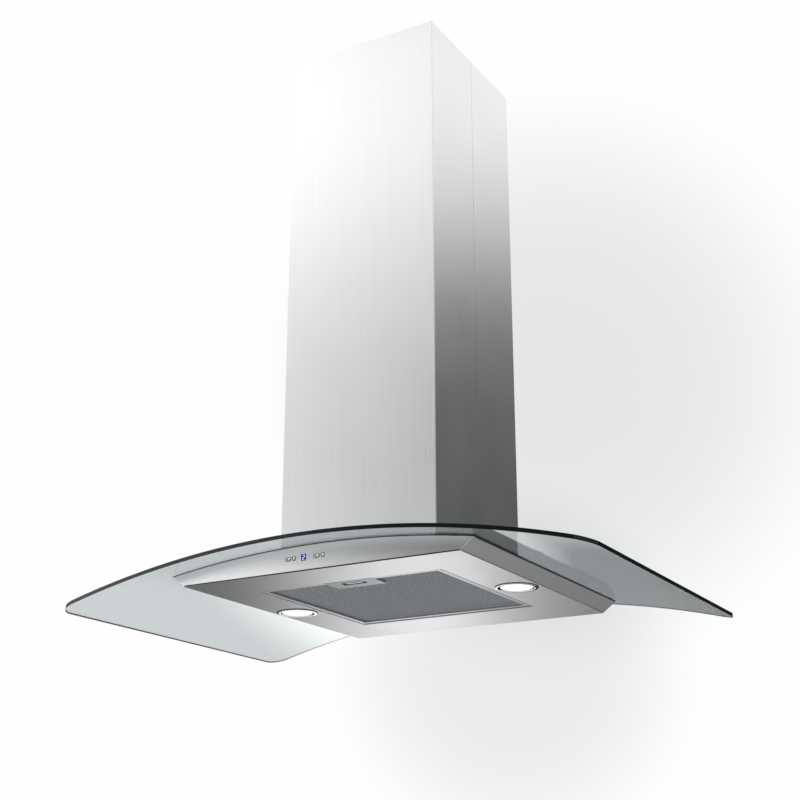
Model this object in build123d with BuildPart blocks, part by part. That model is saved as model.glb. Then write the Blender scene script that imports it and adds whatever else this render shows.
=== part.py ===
"""A ceiling-hung island range hood with an arched glass canopy, in millimetres.

The origin is the middle of the ceiling plate's top face. +Z is up, +X is along the glass's
long side, and the controls face -Y.
"""

from build123d import *
import math
import os

os.makedirs("parts", exist_ok=True)

# ------------------------------------------------------------------ driving sizes
# Heights above the underside panel are written as heights, and placed by level().

drop = 950.0  # ceiling down to the underside panel
sheet = 1.0  # stainless and zinc-plated sheet
seat_gap = 0.2  # between a piece and the one that it stands on
side_gap = 0.3  # between neighbours that don't carry each other

# glass
glass_length = 900.0
glass_overhang = 44.5  # in front of the canopy shell, and behind it
glass_thickness = 6.0
glass_radius = 1620.0  # lower face of the arch
glass_corner = 30.0
glass_arris = 0.4
crown = 40.0  # lower face of the glass above the underside panel, at the middle
cutout_gap = 5.0  # round the blower box
cutout_corner = 8.0
gasket_thickness = 1.5
gasket_width = 9.0

# canopy shell
panel_length = 475.0
canopy_length = 521.6
canopy_depth = 511.0
bend_radius = 1.5
lip_radius = 0.8
wall_return = 14.0  # depth of the inturned edges
band_foot_return = 7.0
fascia_end = 28.0  # bare end of each fascia, behind which a side band fits

# filter recess in the underside panel
opening_depth = 316.0
opening_shift = -10.0  # middle of the opening, towards the controls
recess_depth = 6.0
chamber_gap = 5.0

# grease filter
filter_gap = 2.0
filter_thickness = 9.0
filter_rim = 8.0
filter_sheet = 0.8
filter_lift = 0.6  # lowest face above the underside panel's own plane
filter_lip = 3.0  # height of the rim's inner edge, up to the mesh
skirt_gap = 7.0  # behind the rim's low part, for the swing of the filter
mesh_gap = 0.15
mesh_hole = 13.0  # diagonal of a diamond opening
mesh_pitch = 21.0
bead_radius = 1.2
hook_clearance = 0.2
hook_sheet = 1.0
hook_width = 24.0
hook_spacing = 220.0

# filter handle and latch
handle_length = 85.0
handle_depth = 42.5
handle_corner = 3.0
handle_wall = 1.2
handle_setback = 3.5  # from the recess's front wall
slot_length = 40.0
slot_depth = 15.0
slot_setback = 11.5  # from the handle's front edge
slot_corner = 1.5
latch_length = 48.0
latch_depth = 32.0
latch_thickness = 2.0
latch_travel = 4.0
latch_clearance = 0.1
rail_width = 2.0
bolt_length = 18.0
bolt_thickness = 2.2
bolt_reach = 1.5  # past the outer face of the recess's front wall
bolt_clearance = 0.3
finger_length = 30.0
finger_depth = 5.0
finger_gap = 0.5  # behind the finger bar when the latch is drawn

# lamps
lamp_inset = 36.5  # middle of a lamp, from the end of the underside panel
lamp_margin = 7.5  # between a lamp's ring and the recess
lamp_ring_radius = 33.5
lamp_ring_height = 1.6
lamp_bevel = 1.2
lamp_body_radius = 29.0
lamp_body_height = 17.0
lamp_sleeve_height = 6.0
lamp_wall = 2.0
lamp_aperture = 25.5
lamp_lens_thickness = 2.5
lamp_fit = 0.3

# controls
control_height = 20.5  # middle of the row above the panel
button_proud = 1.0
button_travel = 1.2
button_height = 5.6
pill_length = 9.6
round_diameter = 6.2
button_fit = 0.1
button_hole_gap = 0.25
collar_width = 0.8
collar_thickness = 1.2
light_button_x = -47.0
minus_button_x = -36.8
plus_button_x = 2.6
timer_button_x = 13.2
display_x = -19.6
display_width = 8.6
display_height = 9.8
housing_margin = 12.0
housing_height = 21.0
housing_rim = 2.0
housing_front_depth = 3.0
housing_guide = 6.5
housing_rear_depth = 7.0
board_thickness = 1.6
board_gap = 0.3
board_chip_size = 6.0
board_chip_height = 1.8
board_chip_pitch = 16.0
board_chip_count = 4

# chimney
chimney_length = 279.0
chimney_depth = 285.0
chimney_bend = 1.5
chimney_top_gap = 5.0  # below the ceiling
seam_gap = 0.5
lap_width = 14.0
lap_gap = 0.1
seal_thickness = 1.2
seal_width = 5.0
telescope_gap = 2.0
upper_chimney_bottom = 400.0  # height above the panel
upper_chimney_top_gap = 0.3

# blower box
frame_space = 13.2  # between the hanging frame and the upper chimney
box_top = 290.0
box_duct_radius = 73.0
deck_opening_margin = 3.0
service_length = 174.0
service_height = 180.0
service_middle = 185.0
cover_lap = 10.0

# fan
fan_height = 165.0
scroll_gap = 3.0  # between the scroll and the box's front wall
scroll_width = 84.0
scroll_wall = 2.0
scroll_tongue_radius = 70.0
scroll_outlet_radius = 97.0
scroll_turns = 0.75
scroll_points = 13
scroll_tongue_y = 18.0  # outlet's near side, behind the rotor's axis
scroll_flange_radius = 84.0
inlet_radius = 50.0
impeller_radius = 65.0
impeller_width = 66.0
impeller_rim = 3.0
blade_count = 36
blade_depth = 11.0
blade_thickness = 1.0
blade_turn = 35.0
hub_radius = 12.0
hub_length = 10.0
shaft_radius = 4.0
shaft_clearance = 0.05
motor_radius = 38.0
motor_length = 54.0
motor_boss_radius = 14.0
motor_boss_length = 4.0
bracket_ring = 12.0
bracket_thickness = 2.0
bracket_arm = 10.0
bracket_hub_radius = 24.0
capacitor_radius = 15.0
capacitor_length = 50.0
capacitor_x = 88.0
capacitor_y = 70.0

# outlet collar and damper
spigot_radius = 74.5
spigot_wall = 2.0
spigot_height = 55.0
spigot_flange_radius = 82.0
spigot_flange = 2.0
damper_height = 32.0  # hinge rod above the blower box
damper_rod_radius = 2.0
damper_rod_clearance = 0.05
damper_knuckle_radius = 3.6
damper_knuckle_length = 29.0
damper_knuckle_gap = 0.8
damper_flap_radius = 70.0
damper_hinge_margin = 4.5  # flap's edge from the hinge line, beside the knuckles
damper_flap_thickness = 1.5
damper_ledge_depth = 4.0
damper_ledge_thickness = 2.0

# terminal box and cable gland
terminal_length = 54.0
terminal_depth = 34.0
terminal_height = 26.0
terminal_wall = 2.0
terminal_lid_height = 2.0
terminal_gap = 1.0  # behind the outlet collar's flange
gland_bore_radius = 4.5
gland_thread_radius = 8.0
gland_hex = 22.0
gland_hex_height = 6.0
gland_dome_radius = 9.5
gland_dome_height = 12.0
gland_shank = 6.0

# hanging frame
angle_leg = 20.0
angle_sheet = 2.0
angle_gap = 0.3
lower_post_bottom = 62.0
lower_post_top = 640.0
upper_post_bottom = 330.0
height_travel = 200.0
frame_bolt_radius = 3.0
frame_bolt_heights = (560.0, 620.0)
frame_bolt_fit = 0.05
frame_slot_gap = 0.3
frame_slot_margin = 8.0
bolt_head = 10.0
bolt_head_height = 4.0
nut_height = 5.0
foot_size = 34.0
foot_thickness = 3.0
foot_screw_radius = 2.5
foot_screw_fit = 0.05
foot_screw_head_radius = 4.5
foot_screw_head_height = 3.0

# ceiling plate
ceiling_sheet = 2.0
ceiling_flange = 25.0
ceiling_fit = 0.1
duct_hole_radius = 80.0
ceiling_bolt_x = 120.0
ceiling_bolt_y = 220.0
ceiling_bolt_radius = 4.5
cable_hole_radius = 10.0

# glass clamps and small screws
clamp_width = 30.0
clamp_spacing = 120.0
clamp_sheet = 2.0
clamp_foot = 16.0
clamp_top = 80.0
clamp_screw_height = 68.0
pad_thickness = 2.0
pad_inset = 2.0
curve_gap = 0.25
screw_radius = 2.0
screw_fit = 0.05
screw_head_radius = 3.8
screw_head_height = 2.4
screw_length = 6.0

# ------------------------------------------------------------------ derived places

glass_depth = canopy_depth + 2 * glass_overhang
box_length = chimney_length - 2 * (
    2 * (sheet + angle_sheet) + telescope_gap + angle_gap + frame_space
)
box_depth = box_length + chimney_depth - chimney_length
cutout_length = box_length + 2 * cutout_gap
cutout_depth = box_depth + 2 * cutout_gap
arch_centre = -drop + crown - glass_radius  # height of the arch's centre line
glass_top_radius = glass_radius + glass_thickness
seat_radius = glass_radius - gasket_thickness  # top of the walls' inturned edges
deck_top_radius = seat_radius - sheet - 2 * curve_gap
deck_low_radius = deck_top_radius - sheet
wall_foot = sheet + seat_gap
opening_front = opening_shift - opening_depth / 2
opening_rear = opening_shift + opening_depth / 2
fascia_back = canopy_depth / 2 - sheet  # inner face of each fascia's skin
lamp_x = panel_length / 2 - lamp_inset
opening_length = 2 * (lamp_x - lamp_ring_radius - lamp_margin)
handle_front = opening_front + handle_setback
terminal_y = spigot_flange_radius + terminal_gap + terminal_depth / 2
post_x = box_length / 2  # outer faces of the blower box
post_y = box_depth / 2


def level(height):
    """Z of a height above the underside panel."""
    return height - drop


def arch_z(x, radius):
    """Z of a point on an arc about the glass's centre line."""
    return arch_centre + math.sqrt(radius**2 - x**2)


def arch_profile(half_length, low, high):
    """The face between two arcs about the glass's centre line, in the XZ plane."""
    with BuildSketch(Plane.XZ) as profile:
        with BuildLine():
            lower = ThreePointArc(
                (-half_length, arch_z(half_length, low)),
                (0, arch_centre + low),
                (half_length, arch_z(half_length, low)),
            )
            upper = ThreePointArc(
                (-half_length, arch_z(half_length, high)),
                (0, arch_centre + high),
                (half_length, arch_z(half_length, high)),
            )
            Line(lower @ 0, upper @ 0)
            Line(lower @ 1, upper @ 1)
        make_face()
    return profile.sketch


def save(builder, name):
    """Labels a finished piece and writes it."""
    builder.part.label = name
    export_step(builder.part, f"parts/{name}.step")


# ------------------------------------------------------------------ glass and its gaskets

with BuildPart() as glass_canopy:
    extrude(
        arch_profile(glass_length / 2 + sheet, glass_radius, glass_top_radius),
        amount=glass_depth / 2 + sheet,
        both=True,
    )
    with BuildSketch(Plane.XY.offset(level(-crown))):
        RectangleRounded(glass_length, glass_depth, glass_corner)
        RectangleRounded(cutout_length, cutout_depth, cutout_corner, mode=Mode.SUBTRACT)
    extrude(amount=3 * crown, mode=Mode.INTERSECT)
    broad_faces = glass_canopy.faces().sort_by(SortBy.AREA)[-2:]
    chamfer([edge for face in broad_faces for edge in face.outer_wire().edges()], glass_arris)
save(glass_canopy, "glass_canopy")

with BuildPart() as glass_gasket:
    # one strip round the top of the walls, and one round the cut-out on the deck
    extrude(
        arch_profile(canopy_length / 2, seat_radius + curve_gap, glass_radius - curve_gap),
        amount=canopy_depth / 2,
        both=True,
    )
    with BuildSketch(Plane.XY.offset(level(0))):
        Rectangle(canopy_length - 2 * sheet, canopy_depth - 2 * sheet)
        Rectangle(
            canopy_length - 2 * gasket_width,
            canopy_depth - 2 * gasket_width,
            mode=Mode.SUBTRACT,
        )
    extrude(amount=crown + glass_thickness, mode=Mode.INTERSECT)
with BuildPart() as inner_gasket:
    extrude(
        arch_profile(canopy_length / 2, deck_top_radius + curve_gap, glass_radius - curve_gap),
        amount=canopy_depth / 2,
        both=True,
    )
    with BuildSketch(Plane.XY.offset(level(0))):
        Rectangle(cutout_length + 2 * gasket_width, cutout_depth + 2 * gasket_width)
        Rectangle(cutout_length, cutout_depth, mode=Mode.SUBTRACT)
    extrude(amount=crown + glass_thickness, mode=Mode.INTERSECT)
with BuildPart() as both_gaskets:
    add(glass_gasket.part)
    add(inner_gasket.part)
save(both_gaskets, "glass_gasket")

# ------------------------------------------------------------------ canopy shell

top_rise = arch_z(canopy_length / 2, seat_radius) - level(0)
band_lean = (canopy_length - panel_length) / 2 / top_rise  # outward per unit of height


def wall_x(height):
    """Outer face of a side band at a height above the panel."""
    return panel_length / 2 + band_lean * height


def fascia_outline(y, inset):
    """The outline of a front or rear wall, smaller by an inset, in the XZ plane at y."""
    with BuildSketch(Plane.XZ.offset(-y)) as outline:
        with BuildLine():
            foot = Line(
                (-wall_x(wall_foot), level(wall_foot)), (wall_x(wall_foot), level(wall_foot))
            )
            top = ThreePointArc(
                (canopy_length / 2, level(top_rise)),
                (0, arch_centre + seat_radius),
                (-canopy_length / 2, level(top_rise)),
            )
            Line(foot @ 1, top @ 0)
            Line(top @ 1, foot @ 0)
        make_face()
        if inset > 0:
            offset(amount=-inset, kind=Kind.INTERSECTION, mode=Mode.REPLACE)
    return outline.sketch


def fascia_pan(side):
    """A front (side -1) or rear (side +1) wall: a flat skin with edges turned in."""
    with BuildPart() as pan:
        extrude(fascia_outline(side * canopy_depth / 2, 0), amount=side * wall_return)
        skin = pan.faces().filter_by(Axis.Y).sort_by(Axis.Y)[-1 if side > 0 else 0]
        fillet(skin.edges(), bend_radius)
        extrude(
            fascia_outline(side * fascia_back, sheet),
            amount=side * wall_return,
            mode=Mode.SUBTRACT,
        )
        with BuildSketch(Plane.XZ.offset(-side * fascia_back)):
            with Locations(
                (canopy_length / 2, level(crown / 2)), (-canopy_length / 2, level(crown / 2))
            ):
                Rectangle(2 * (fascia_end + wall_return), 2 * crown)
        extrude(amount=side * wall_return, mode=Mode.SUBTRACT)
    return pan.part


buttons = {
    "button_light": (light_button_x, pill_length),
    "button_minus": (minus_button_x, round_diameter),
    "button_plus": (plus_button_x, pill_length),
    "button_timer": (timer_button_x, round_diameter),
}


def button_face(x, length, margin):
    """A button's outline, larger by a margin all round, on the front fascia's skin."""
    height = button_height if length == pill_length else length
    with BuildSketch(Plane.XZ.offset(canopy_depth / 2)) as outline:
        with Locations((x, level(control_height))):
            if length > height:
                SlotOverall(length + 2 * margin, height + 2 * margin)
            else:
                Circle(length / 2 + margin)
    return outline.sketch


def display_face(margin):
    """The display window's outline on the front fascia's skin."""
    with BuildSketch(Plane.XZ.offset(canopy_depth / 2)) as outline:
        with Locations((display_x, level(control_height))):
            Rectangle(display_width + 2 * margin, display_height + 2 * margin)
    return outline.sketch


with BuildPart() as front_fascia:
    add(fascia_pan(-1))
    for x, length in buttons.values():
        extrude(button_face(x, length, button_hole_gap), amount=-wall_return / 2, mode=Mode.SUBTRACT)
    extrude(display_face(button_fit), amount=-wall_return / 2, mode=Mode.SUBTRACT)
save(front_fascia, "front_fascia")

with BuildPart() as rear_fascia:
    add(fascia_pan(1))
save(rear_fascia, "rear_fascia")

band_slant = math.sqrt(1 + band_lean**2)
band_inner_top = canopy_length / 2 - sheet * (band_slant + band_lean)

with BuildPart() as right_side_band:
    with BuildSketch(Plane.XZ) as band_section:
        with BuildLine():
            Polyline(
                (wall_x(wall_foot), level(wall_foot)),
                (canopy_length / 2, level(top_rise)),
                (
                    canopy_length / 2 - wall_return,
                    arch_z(canopy_length / 2 - wall_return, seat_radius),
                ),
                (
                    canopy_length / 2 - wall_return,
                    arch_z(canopy_length / 2 - wall_return, seat_radius - sheet),
                ),
                (band_inner_top, arch_z(band_inner_top, seat_radius - sheet)),
                (wall_x(wall_foot + sheet) - sheet * band_slant, level(wall_foot + sheet)),
                (wall_x(wall_foot) - band_foot_return, level(wall_foot + sheet)),
                (wall_x(wall_foot) - band_foot_return, level(wall_foot)),
                close=True,
            )
        make_face()
        fillet(band_section.vertices().sort_by(Axis.X)[-1:], bend_radius)
    extrude(amount=fascia_back - side_gap, both=True)
save(right_side_band, "right_side_band")

with BuildPart() as left_side_band:
    mirror(right_side_band.part, about=Plane.YZ)
save(left_side_band, "left_side_band")

with BuildPart() as canopy_deck:
    extrude(
        arch_profile(
            canopy_length / 2 - wall_return / 2 - 2 * sheet, deck_low_radius, deck_top_radius
        ),
        amount=fascia_back - side_gap,
        both=True,
    )
    with BuildSketch(Plane.XY.offset(level(0))):
        Rectangle(box_length - 2 * deck_opening_margin, box_depth - 2 * deck_opening_margin)
    extrude(amount=crown + glass_thickness, mode=Mode.SUBTRACT)
save(canopy_deck, "canopy_deck")

bead_y = opening_rear + sheet / 2
bead_z = level(recess_depth)
bolt_low = recess_depth / 2
bolt_high = bolt_low + bolt_thickness

with BuildPart() as underside_panel:
    with BuildSketch(Plane.XY.offset(level(0))):
        Rectangle(panel_length, canopy_depth)
        with Locations((0, opening_shift)):
            Rectangle(opening_length, opening_depth, mode=Mode.SUBTRACT)
        with Locations((-lamp_x, 0), (lamp_x, 0)):
            Circle(lamp_body_radius + lamp_fit, mode=Mode.SUBTRACT)
    extrude(amount=sheet)
    with BuildSketch(Plane.XY.offset(level(0))):
        with Locations((0, opening_shift)):
            Rectangle(opening_length + 2 * sheet, opening_depth + 2 * sheet)
            Rectangle(opening_length, opening_depth, mode=Mode.SUBTRACT)
    extrude(amount=recess_depth)
    with BuildSketch(Plane.YZ.offset(-opening_length / 2)):
        with Locations((bead_y, bead_z)):
            Circle(bead_radius)
    extrude(amount=opening_length)
    with BuildSketch(Plane.XZ.offset(-opening_front - sheet)):
        with Locations((0, level((bolt_low + bolt_high) / 2))):
            Rectangle(
                bolt_length + 2 * bolt_clearance,
                bolt_thickness + 2 * bolt_clearance,
            )
    extrude(amount=3 * sheet, mode=Mode.SUBTRACT)
    rim_edges = underside_panel.edges().filter_by_position(
        Axis.Z, level(0) - curve_gap, level(0) + curve_gap
    )
    recess_edges = rim_edges.filter_by(
        lambda edge: abs(edge.center().X) <= opening_length / 2 + curve_gap
        and abs(edge.center().Y - opening_shift) <= opening_depth / 2 + curve_gap
    )
    fillet(recess_edges, lip_radius)
save(underside_panel, "underside_panel")

with BuildPart() as suction_chamber:
    with BuildSketch(Plane.XY.offset(level(sheet))):
        with Locations((0, opening_shift)):
            Rectangle(
                opening_length + 2 * (chamber_gap + sheet), opening_depth + 2 * (chamber_gap + sheet)
            )
            Rectangle(
                opening_length + 2 * chamber_gap,
                opening_depth + 2 * chamber_gap,
                mode=Mode.SUBTRACT,
            )
    extrude(amount=crown + glass_thickness)
    extrude(
        arch_profile(canopy_length / 2, glass_radius - 2 * crown, deck_low_radius - curve_gap),
        amount=canopy_depth / 2,
        both=True,
        mode=Mode.INTERSECT,
    )
save(suction_chamber, "suction_chamber")

# ------------------------------------------------------------------ grease filter

filter_length = opening_length - 2 * filter_gap
filter_depth = opening_depth - 2 * filter_gap
filter_low = recess_depth + side_gap
filter_inner_length = filter_length - 2 * filter_rim
filter_inner_depth = filter_depth - 2 * filter_rim
hook_inner = bead_radius + hook_clearance
hook_outer = hook_inner + hook_sheet
skirt_front = opening_front + filter_gap
skirt_rear = opening_rear - skirt_gap
skirt_depth = skirt_rear - skirt_front
skirt_middle = (skirt_front + skirt_rear) / 2
skirt_inner_depth = skirt_depth - 2 * filter_rim
handle_middle = handle_front + handle_depth / 2
notch_length = handle_length + 2 * side_gap

with BuildPart() as filter_frame:
    # a channel rim that holds the mesh, with two hooks over the recess's rear bead, and a low
    # box-section skirt that brings it down to the panel's plane, open where the handle is
    with BuildSketch(Plane.XY.offset(level(filter_low))):
        with Locations((0, opening_shift)):
            Rectangle(filter_length, filter_depth)
            Rectangle(filter_inner_length, filter_inner_depth, mode=Mode.SUBTRACT)
    extrude(amount=filter_thickness)
    with BuildSketch(Plane.XY.offset(level(filter_low + filter_sheet))):
        with Locations((0, opening_shift)):
            Rectangle(filter_length - 2 * filter_sheet, filter_depth - 2 * filter_sheet)
    extrude(amount=filter_thickness - 2 * filter_sheet, mode=Mode.SUBTRACT)
    with BuildSketch(Plane.XY.offset(level(filter_lift))):
        with Locations((0, skirt_middle)):
            Rectangle(filter_length, skirt_depth)
            Rectangle(filter_inner_length, skirt_inner_depth, mode=Mode.SUBTRACT)
        with Locations((0, skirt_front)):
            Rectangle(notch_length, 2 * filter_rim, mode=Mode.SUBTRACT)
    extrude(amount=filter_low - filter_lift)
    with BuildSketch(Plane.XY.offset(level(filter_lift + filter_sheet))):
        with Locations((0, skirt_middle)):
            Rectangle(filter_length - 2 * filter_sheet, skirt_depth - 2 * filter_sheet)
            Rectangle(
                filter_inner_length + 2 * filter_sheet,
                skirt_inner_depth + 2 * filter_sheet,
                mode=Mode.SUBTRACT,
            )
        with Locations((0, skirt_front)):
            Rectangle(notch_length + 2 * filter_sheet, 2 * filter_rim, mode=Mode.SUBTRACT)
    extrude(amount=filter_low - filter_lift, mode=Mode.SUBTRACT)
    for hook_x in (-hook_spacing / 2, hook_spacing / 2):
        with BuildSketch(Plane.YZ.offset(hook_x - hook_width / 2)):
            with Locations((bead_y, bead_z)):
                Circle(hook_outer)
                Circle(hook_inner, mode=Mode.SUBTRACT)
                with Locations((-hook_outer, 0)):
                    Rectangle(2 * hook_outer, 4 * hook_outer, mode=Mode.SUBTRACT)
                with Locations((hook_outer / 2, -hook_outer)):
                    Rectangle(2 * hook_outer, 2 * hook_outer - side_gap, mode=Mode.SUBTRACT)
            with Locations((bead_y, bead_z + hook_inner)):
                Rectangle(
                    bead_y - opening_rear + filter_gap + filter_sheet / 2,
                    hook_sheet,
                    align=(Align.MAX, Align.MIN),
                )
        extrude(amount=hook_width)
save(filter_frame, "filter_frame")

with BuildPart() as filter_mesh:
    # held in the channel, and dished down to the skirt's inner edge except over the handle
    with BuildSketch(Plane.XY.offset(level(filter_low + filter_sheet + mesh_gap))):
        with Locations((0, opening_shift)):
            Rectangle(
                filter_length - 2 * (filter_sheet + mesh_gap),
                filter_depth - 2 * (filter_sheet + mesh_gap),
            )
    extrude(amount=filter_thickness - 2 * (filter_sheet + mesh_gap))
    with BuildSketch(Plane.XY.offset(level(filter_lift + filter_lip))):
        with Locations((0, skirt_middle)):
            Rectangle(filter_inner_length - 2 * side_gap, skirt_inner_depth - 2 * side_gap)
        with Locations((0, handle_middle)):
            Rectangle(notch_length, handle_depth + 2 * side_gap, mode=Mode.SUBTRACT)
    extrude(amount=filter_low + filter_sheet + 2 * mesh_gap - filter_lift - filter_lip)
    with BuildSketch(Plane.XY.offset(level(0))):
        with Locations((0, skirt_middle)):
            with GridLocations(
                mesh_pitch,
                mesh_pitch,
                int(filter_inner_length // mesh_pitch),
                int(skirt_inner_depth // mesh_pitch),
            ):
                Rectangle(
                    mesh_hole / math.sqrt(2),
                    mesh_hole / math.sqrt(2),
                    rotation=45,
                )
    extrude(amount=filter_low + filter_thickness, mode=Mode.SUBTRACT)
save(filter_mesh, "filter_mesh")

slot_middle = handle_front + slot_setback + slot_depth / 2
handle_floor = filter_lift + handle_wall
latch_high = filter_low - side_gap
latch_low = latch_high - latch_thickness
rail_y = handle_front + handle_wall + latch_depth / 2 + side_gap

with BuildPart() as filter_handle:
    # a shallow tray under the rim's front edge, with a finger slot and two latch rails
    with BuildSketch(Plane.XY.offset(level(filter_lift))):
        with Locations((0, handle_middle)):
            RectangleRounded(handle_length, handle_depth, handle_corner)
    extrude(amount=filter_low - filter_lift)
    with BuildSketch(Plane.XY.offset(level(handle_floor))):
        with Locations((0, handle_middle)):
            RectangleRounded(
                handle_length - 2 * handle_wall,
                handle_depth - 2 * handle_wall,
                handle_corner - handle_wall,
            )
    extrude(amount=filter_low, mode=Mode.SUBTRACT)
    with BuildSketch(Plane.XY.offset(level(handle_floor))):
        with Locations(
            (latch_length / 2 - rail_width, rail_y), (rail_width - latch_length / 2, rail_y)
        ):
            Rectangle(rail_width, latch_depth)
    extrude(amount=latch_low - latch_clearance - handle_floor)
    with BuildSketch(Plane.XY.offset(level(0))):
        with Locations((0, slot_middle)):
            RectangleRounded(slot_length, slot_depth, slot_corner)
    extrude(amount=handle_floor + sheet, mode=Mode.SUBTRACT)
    with BuildSketch(Plane.XZ.offset(-handle_front - handle_wall - sheet)):
        with Locations((0, level(bolt_low - bolt_clearance))):
            Rectangle(
                bolt_length + 2 * bolt_clearance,
                filter_low,
                align=(Align.CENTER, Align.MIN),
            )
    extrude(amount=2 * handle_wall + sheet, mode=Mode.SUBTRACT)
save(filter_handle, "filter_handle")

latch_front = handle_front + handle_wall + side_gap
bolt_tip = opening_front - sheet - bolt_reach

with BuildPart() as filter_latch:
    with BuildSketch(Plane.XY.offset(level(latch_low))):
        with Locations((0, latch_front)):
            Rectangle(latch_length, latch_depth, align=(Align.CENTER, Align.MIN))
    extrude(amount=latch_thickness)
    with BuildSketch(Plane.XY.offset(level(bolt_low))):
        with Locations((0, bolt_tip)):
            Rectangle(
                bolt_length, latch_front + latch_thickness - bolt_tip, align=(Align.CENTER, Align.MIN)
            )
    extrude(amount=bolt_thickness)
    with BuildSketch(Plane.XY.offset(level(filter_lift + handle_wall / 2))):
        with Locations((0, slot_middle + slot_depth / 2 - latch_travel - finger_gap)):
            Rectangle(finger_length, finger_depth, align=(Align.CENTER, Align.MAX))
    extrude(amount=latch_low - filter_lift)
save(filter_latch, "filter_latch")

# ------------------------------------------------------------------ lamps


def at_lamp(side, height):
    """A level plane over a lamp's axis, side -1 on the left and +1 on the right."""
    return Plane((side * lamp_x, 0, level(height)))


for side, hand in ((-1, "left"), (1, "right")):
    with BuildPart() as lamp_ring:
        with BuildSketch(at_lamp(side, -lamp_ring_height)):
            Circle(lamp_ring_radius)
            Circle(lamp_aperture, mode=Mode.SUBTRACT)
        extrude(amount=lamp_ring_height)
        lowest = lamp_ring.faces().sort_by(Axis.Z)[0]
        chamfer(lowest.outer_wire().edges(), 3 * lamp_bevel, lamp_bevel, reference=lowest)
        lowest = lamp_ring.faces().sort_by(Axis.Z)[0]
        chamfer(lowest.inner_wires().edges(), lamp_bevel)
        with BuildSketch(at_lamp(side, 0)):
            Circle(lamp_body_radius)
            Circle(lamp_body_radius - lamp_wall, mode=Mode.SUBTRACT)
        extrude(amount=lamp_sleeve_height)
    save(lamp_ring, f"lamp_ring_{hand}")

    with BuildPart() as lamp_lens:
        with BuildSketch(at_lamp(side, seat_gap / 2)):
            Circle(lamp_body_radius - lamp_wall - side_gap)
        extrude(amount=lamp_lens_thickness)
    save(lamp_lens, f"lamp_lens_{hand}")

    with BuildPart() as lamp_body:
        with BuildSketch(at_lamp(side, lamp_sleeve_height)):
            Circle(lamp_body_radius)
        extrude(amount=lamp_body_height - lamp_sleeve_height)
        with BuildSketch(at_lamp(side, lamp_sleeve_height)):
            Circle(lamp_body_radius - lamp_wall)
        extrude(
            amount=lamp_body_height - lamp_sleeve_height - lamp_wall - sheet, mode=Mode.SUBTRACT
        )
    save(lamp_body, f"lamp_body_{hand}")

# ------------------------------------------------------------------ controls

row_middle = (light_button_x + timer_button_x) / 2
row_length = timer_button_x - light_button_x + 2 * housing_margin
housing_front = -fascia_back
guide_front = housing_front + housing_front_depth
guide_back = guide_front + housing_guide
housing_back = guide_back + housing_rear_depth


def row_plate(y, margin):
    """A rectangle over the row of controls, in the XZ plane at y."""
    with BuildSketch(Plane.XZ.offset(-y)) as outline:
        with Locations((row_middle, level(control_height))):
            Rectangle(row_length - 2 * margin, housing_height - 2 * margin)
    return outline.sketch


with BuildPart() as control_housing:
    extrude(row_plate(housing_front, 0), amount=housing_front - housing_back)
    extrude(
        row_plate(housing_front, housing_rim), amount=-housing_front_depth, mode=Mode.SUBTRACT
    )
    extrude(row_plate(guide_back, housing_rim), amount=-housing_rear_depth, mode=Mode.SUBTRACT)
    for x, length in buttons.values():
        extrude(
            button_face(x, length, button_fit), amount=housing_front - housing_back, mode=Mode.SUBTRACT
        )
    extrude(display_face(button_fit), amount=housing_front - housing_back, mode=Mode.SUBTRACT)
save(control_housing, "control_housing")

with BuildPart() as control_board:
    extrude(row_plate(guide_back, housing_rim + board_gap), amount=-board_thickness)
    with BuildSketch(Plane.XZ.offset(-guide_back - board_thickness)):
        with Locations((row_middle, level(control_height))):
            with GridLocations(board_chip_pitch, board_chip_size, board_chip_count, 1):
                Rectangle(board_chip_size, board_chip_size)
    extrude(amount=-board_chip_height)
save(control_board, "control_board")

with BuildPart() as display_window:
    extrude(display_face(0), amount=-(canopy_depth / 2 + guide_back))
save(display_window, "display_window")

for name, (x, length) in buttons.items():
    with BuildPart() as button:
        extrude(button_face(x, length, 0), amount=button_proud)
        extrude(
            button_face(x, length, 0),
            amount=-(canopy_depth / 2 + guide_back - button_travel - side_gap),
        )
        with BuildSketch(Plane.XZ.offset(fascia_back - seat_gap)):
            with Locations((x, level(control_height))):
                if length == pill_length:
                    SlotOverall(length + 2 * collar_width, button_height + 2 * collar_width)
                else:
                    Circle(length / 2 + collar_width)
        extrude(amount=-collar_thickness)
        fillet(button.faces().sort_by(Axis.Y)[0].edges(), button_proud / 2)
    save(button, name)

# ------------------------------------------------------------------ blower box on the deck

with BuildPart() as blower_box:
    with BuildSketch(Plane.XY.offset(level(0))):
        Rectangle(box_length, box_depth)
    extrude(amount=box_top)
    with BuildSketch(Plane.XY.offset(level(0))):
        Rectangle(box_length - 2 * sheet, box_depth - 2 * sheet)
    extrude(amount=box_top - sheet, mode=Mode.SUBTRACT)
    extrude(
        arch_profile(canopy_length / 2, glass_radius - 2 * crown, deck_top_radius + curve_gap),
        amount=canopy_depth / 2,
        both=True,
        mode=Mode.SUBTRACT,
    )
    with BuildSketch(Plane.XY.offset(level(box_top))):
        Circle(box_duct_radius)
    extrude(amount=-2 * sheet, mode=Mode.SUBTRACT)
    with BuildSketch(Plane.XZ.offset(post_y)):
        with Locations((0, level(service_middle))):
            Rectangle(service_length, service_height)
            with GridLocations(service_length + cover_lap, service_height + cover_lap, 2, 2):
                Circle(screw_radius + screw_fit)
    extrude(amount=-2 * sheet, mode=Mode.SUBTRACT)
    with BuildSketch(Plane.XZ.offset(post_y)):
        with Locations(
            (-clamp_spacing / 2, level(clamp_screw_height)),
            (clamp_spacing / 2, level(clamp_screw_height)),
        ):
            Circle(screw_radius + screw_fit)
    extrude(amount=-box_depth, mode=Mode.SUBTRACT)
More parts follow.
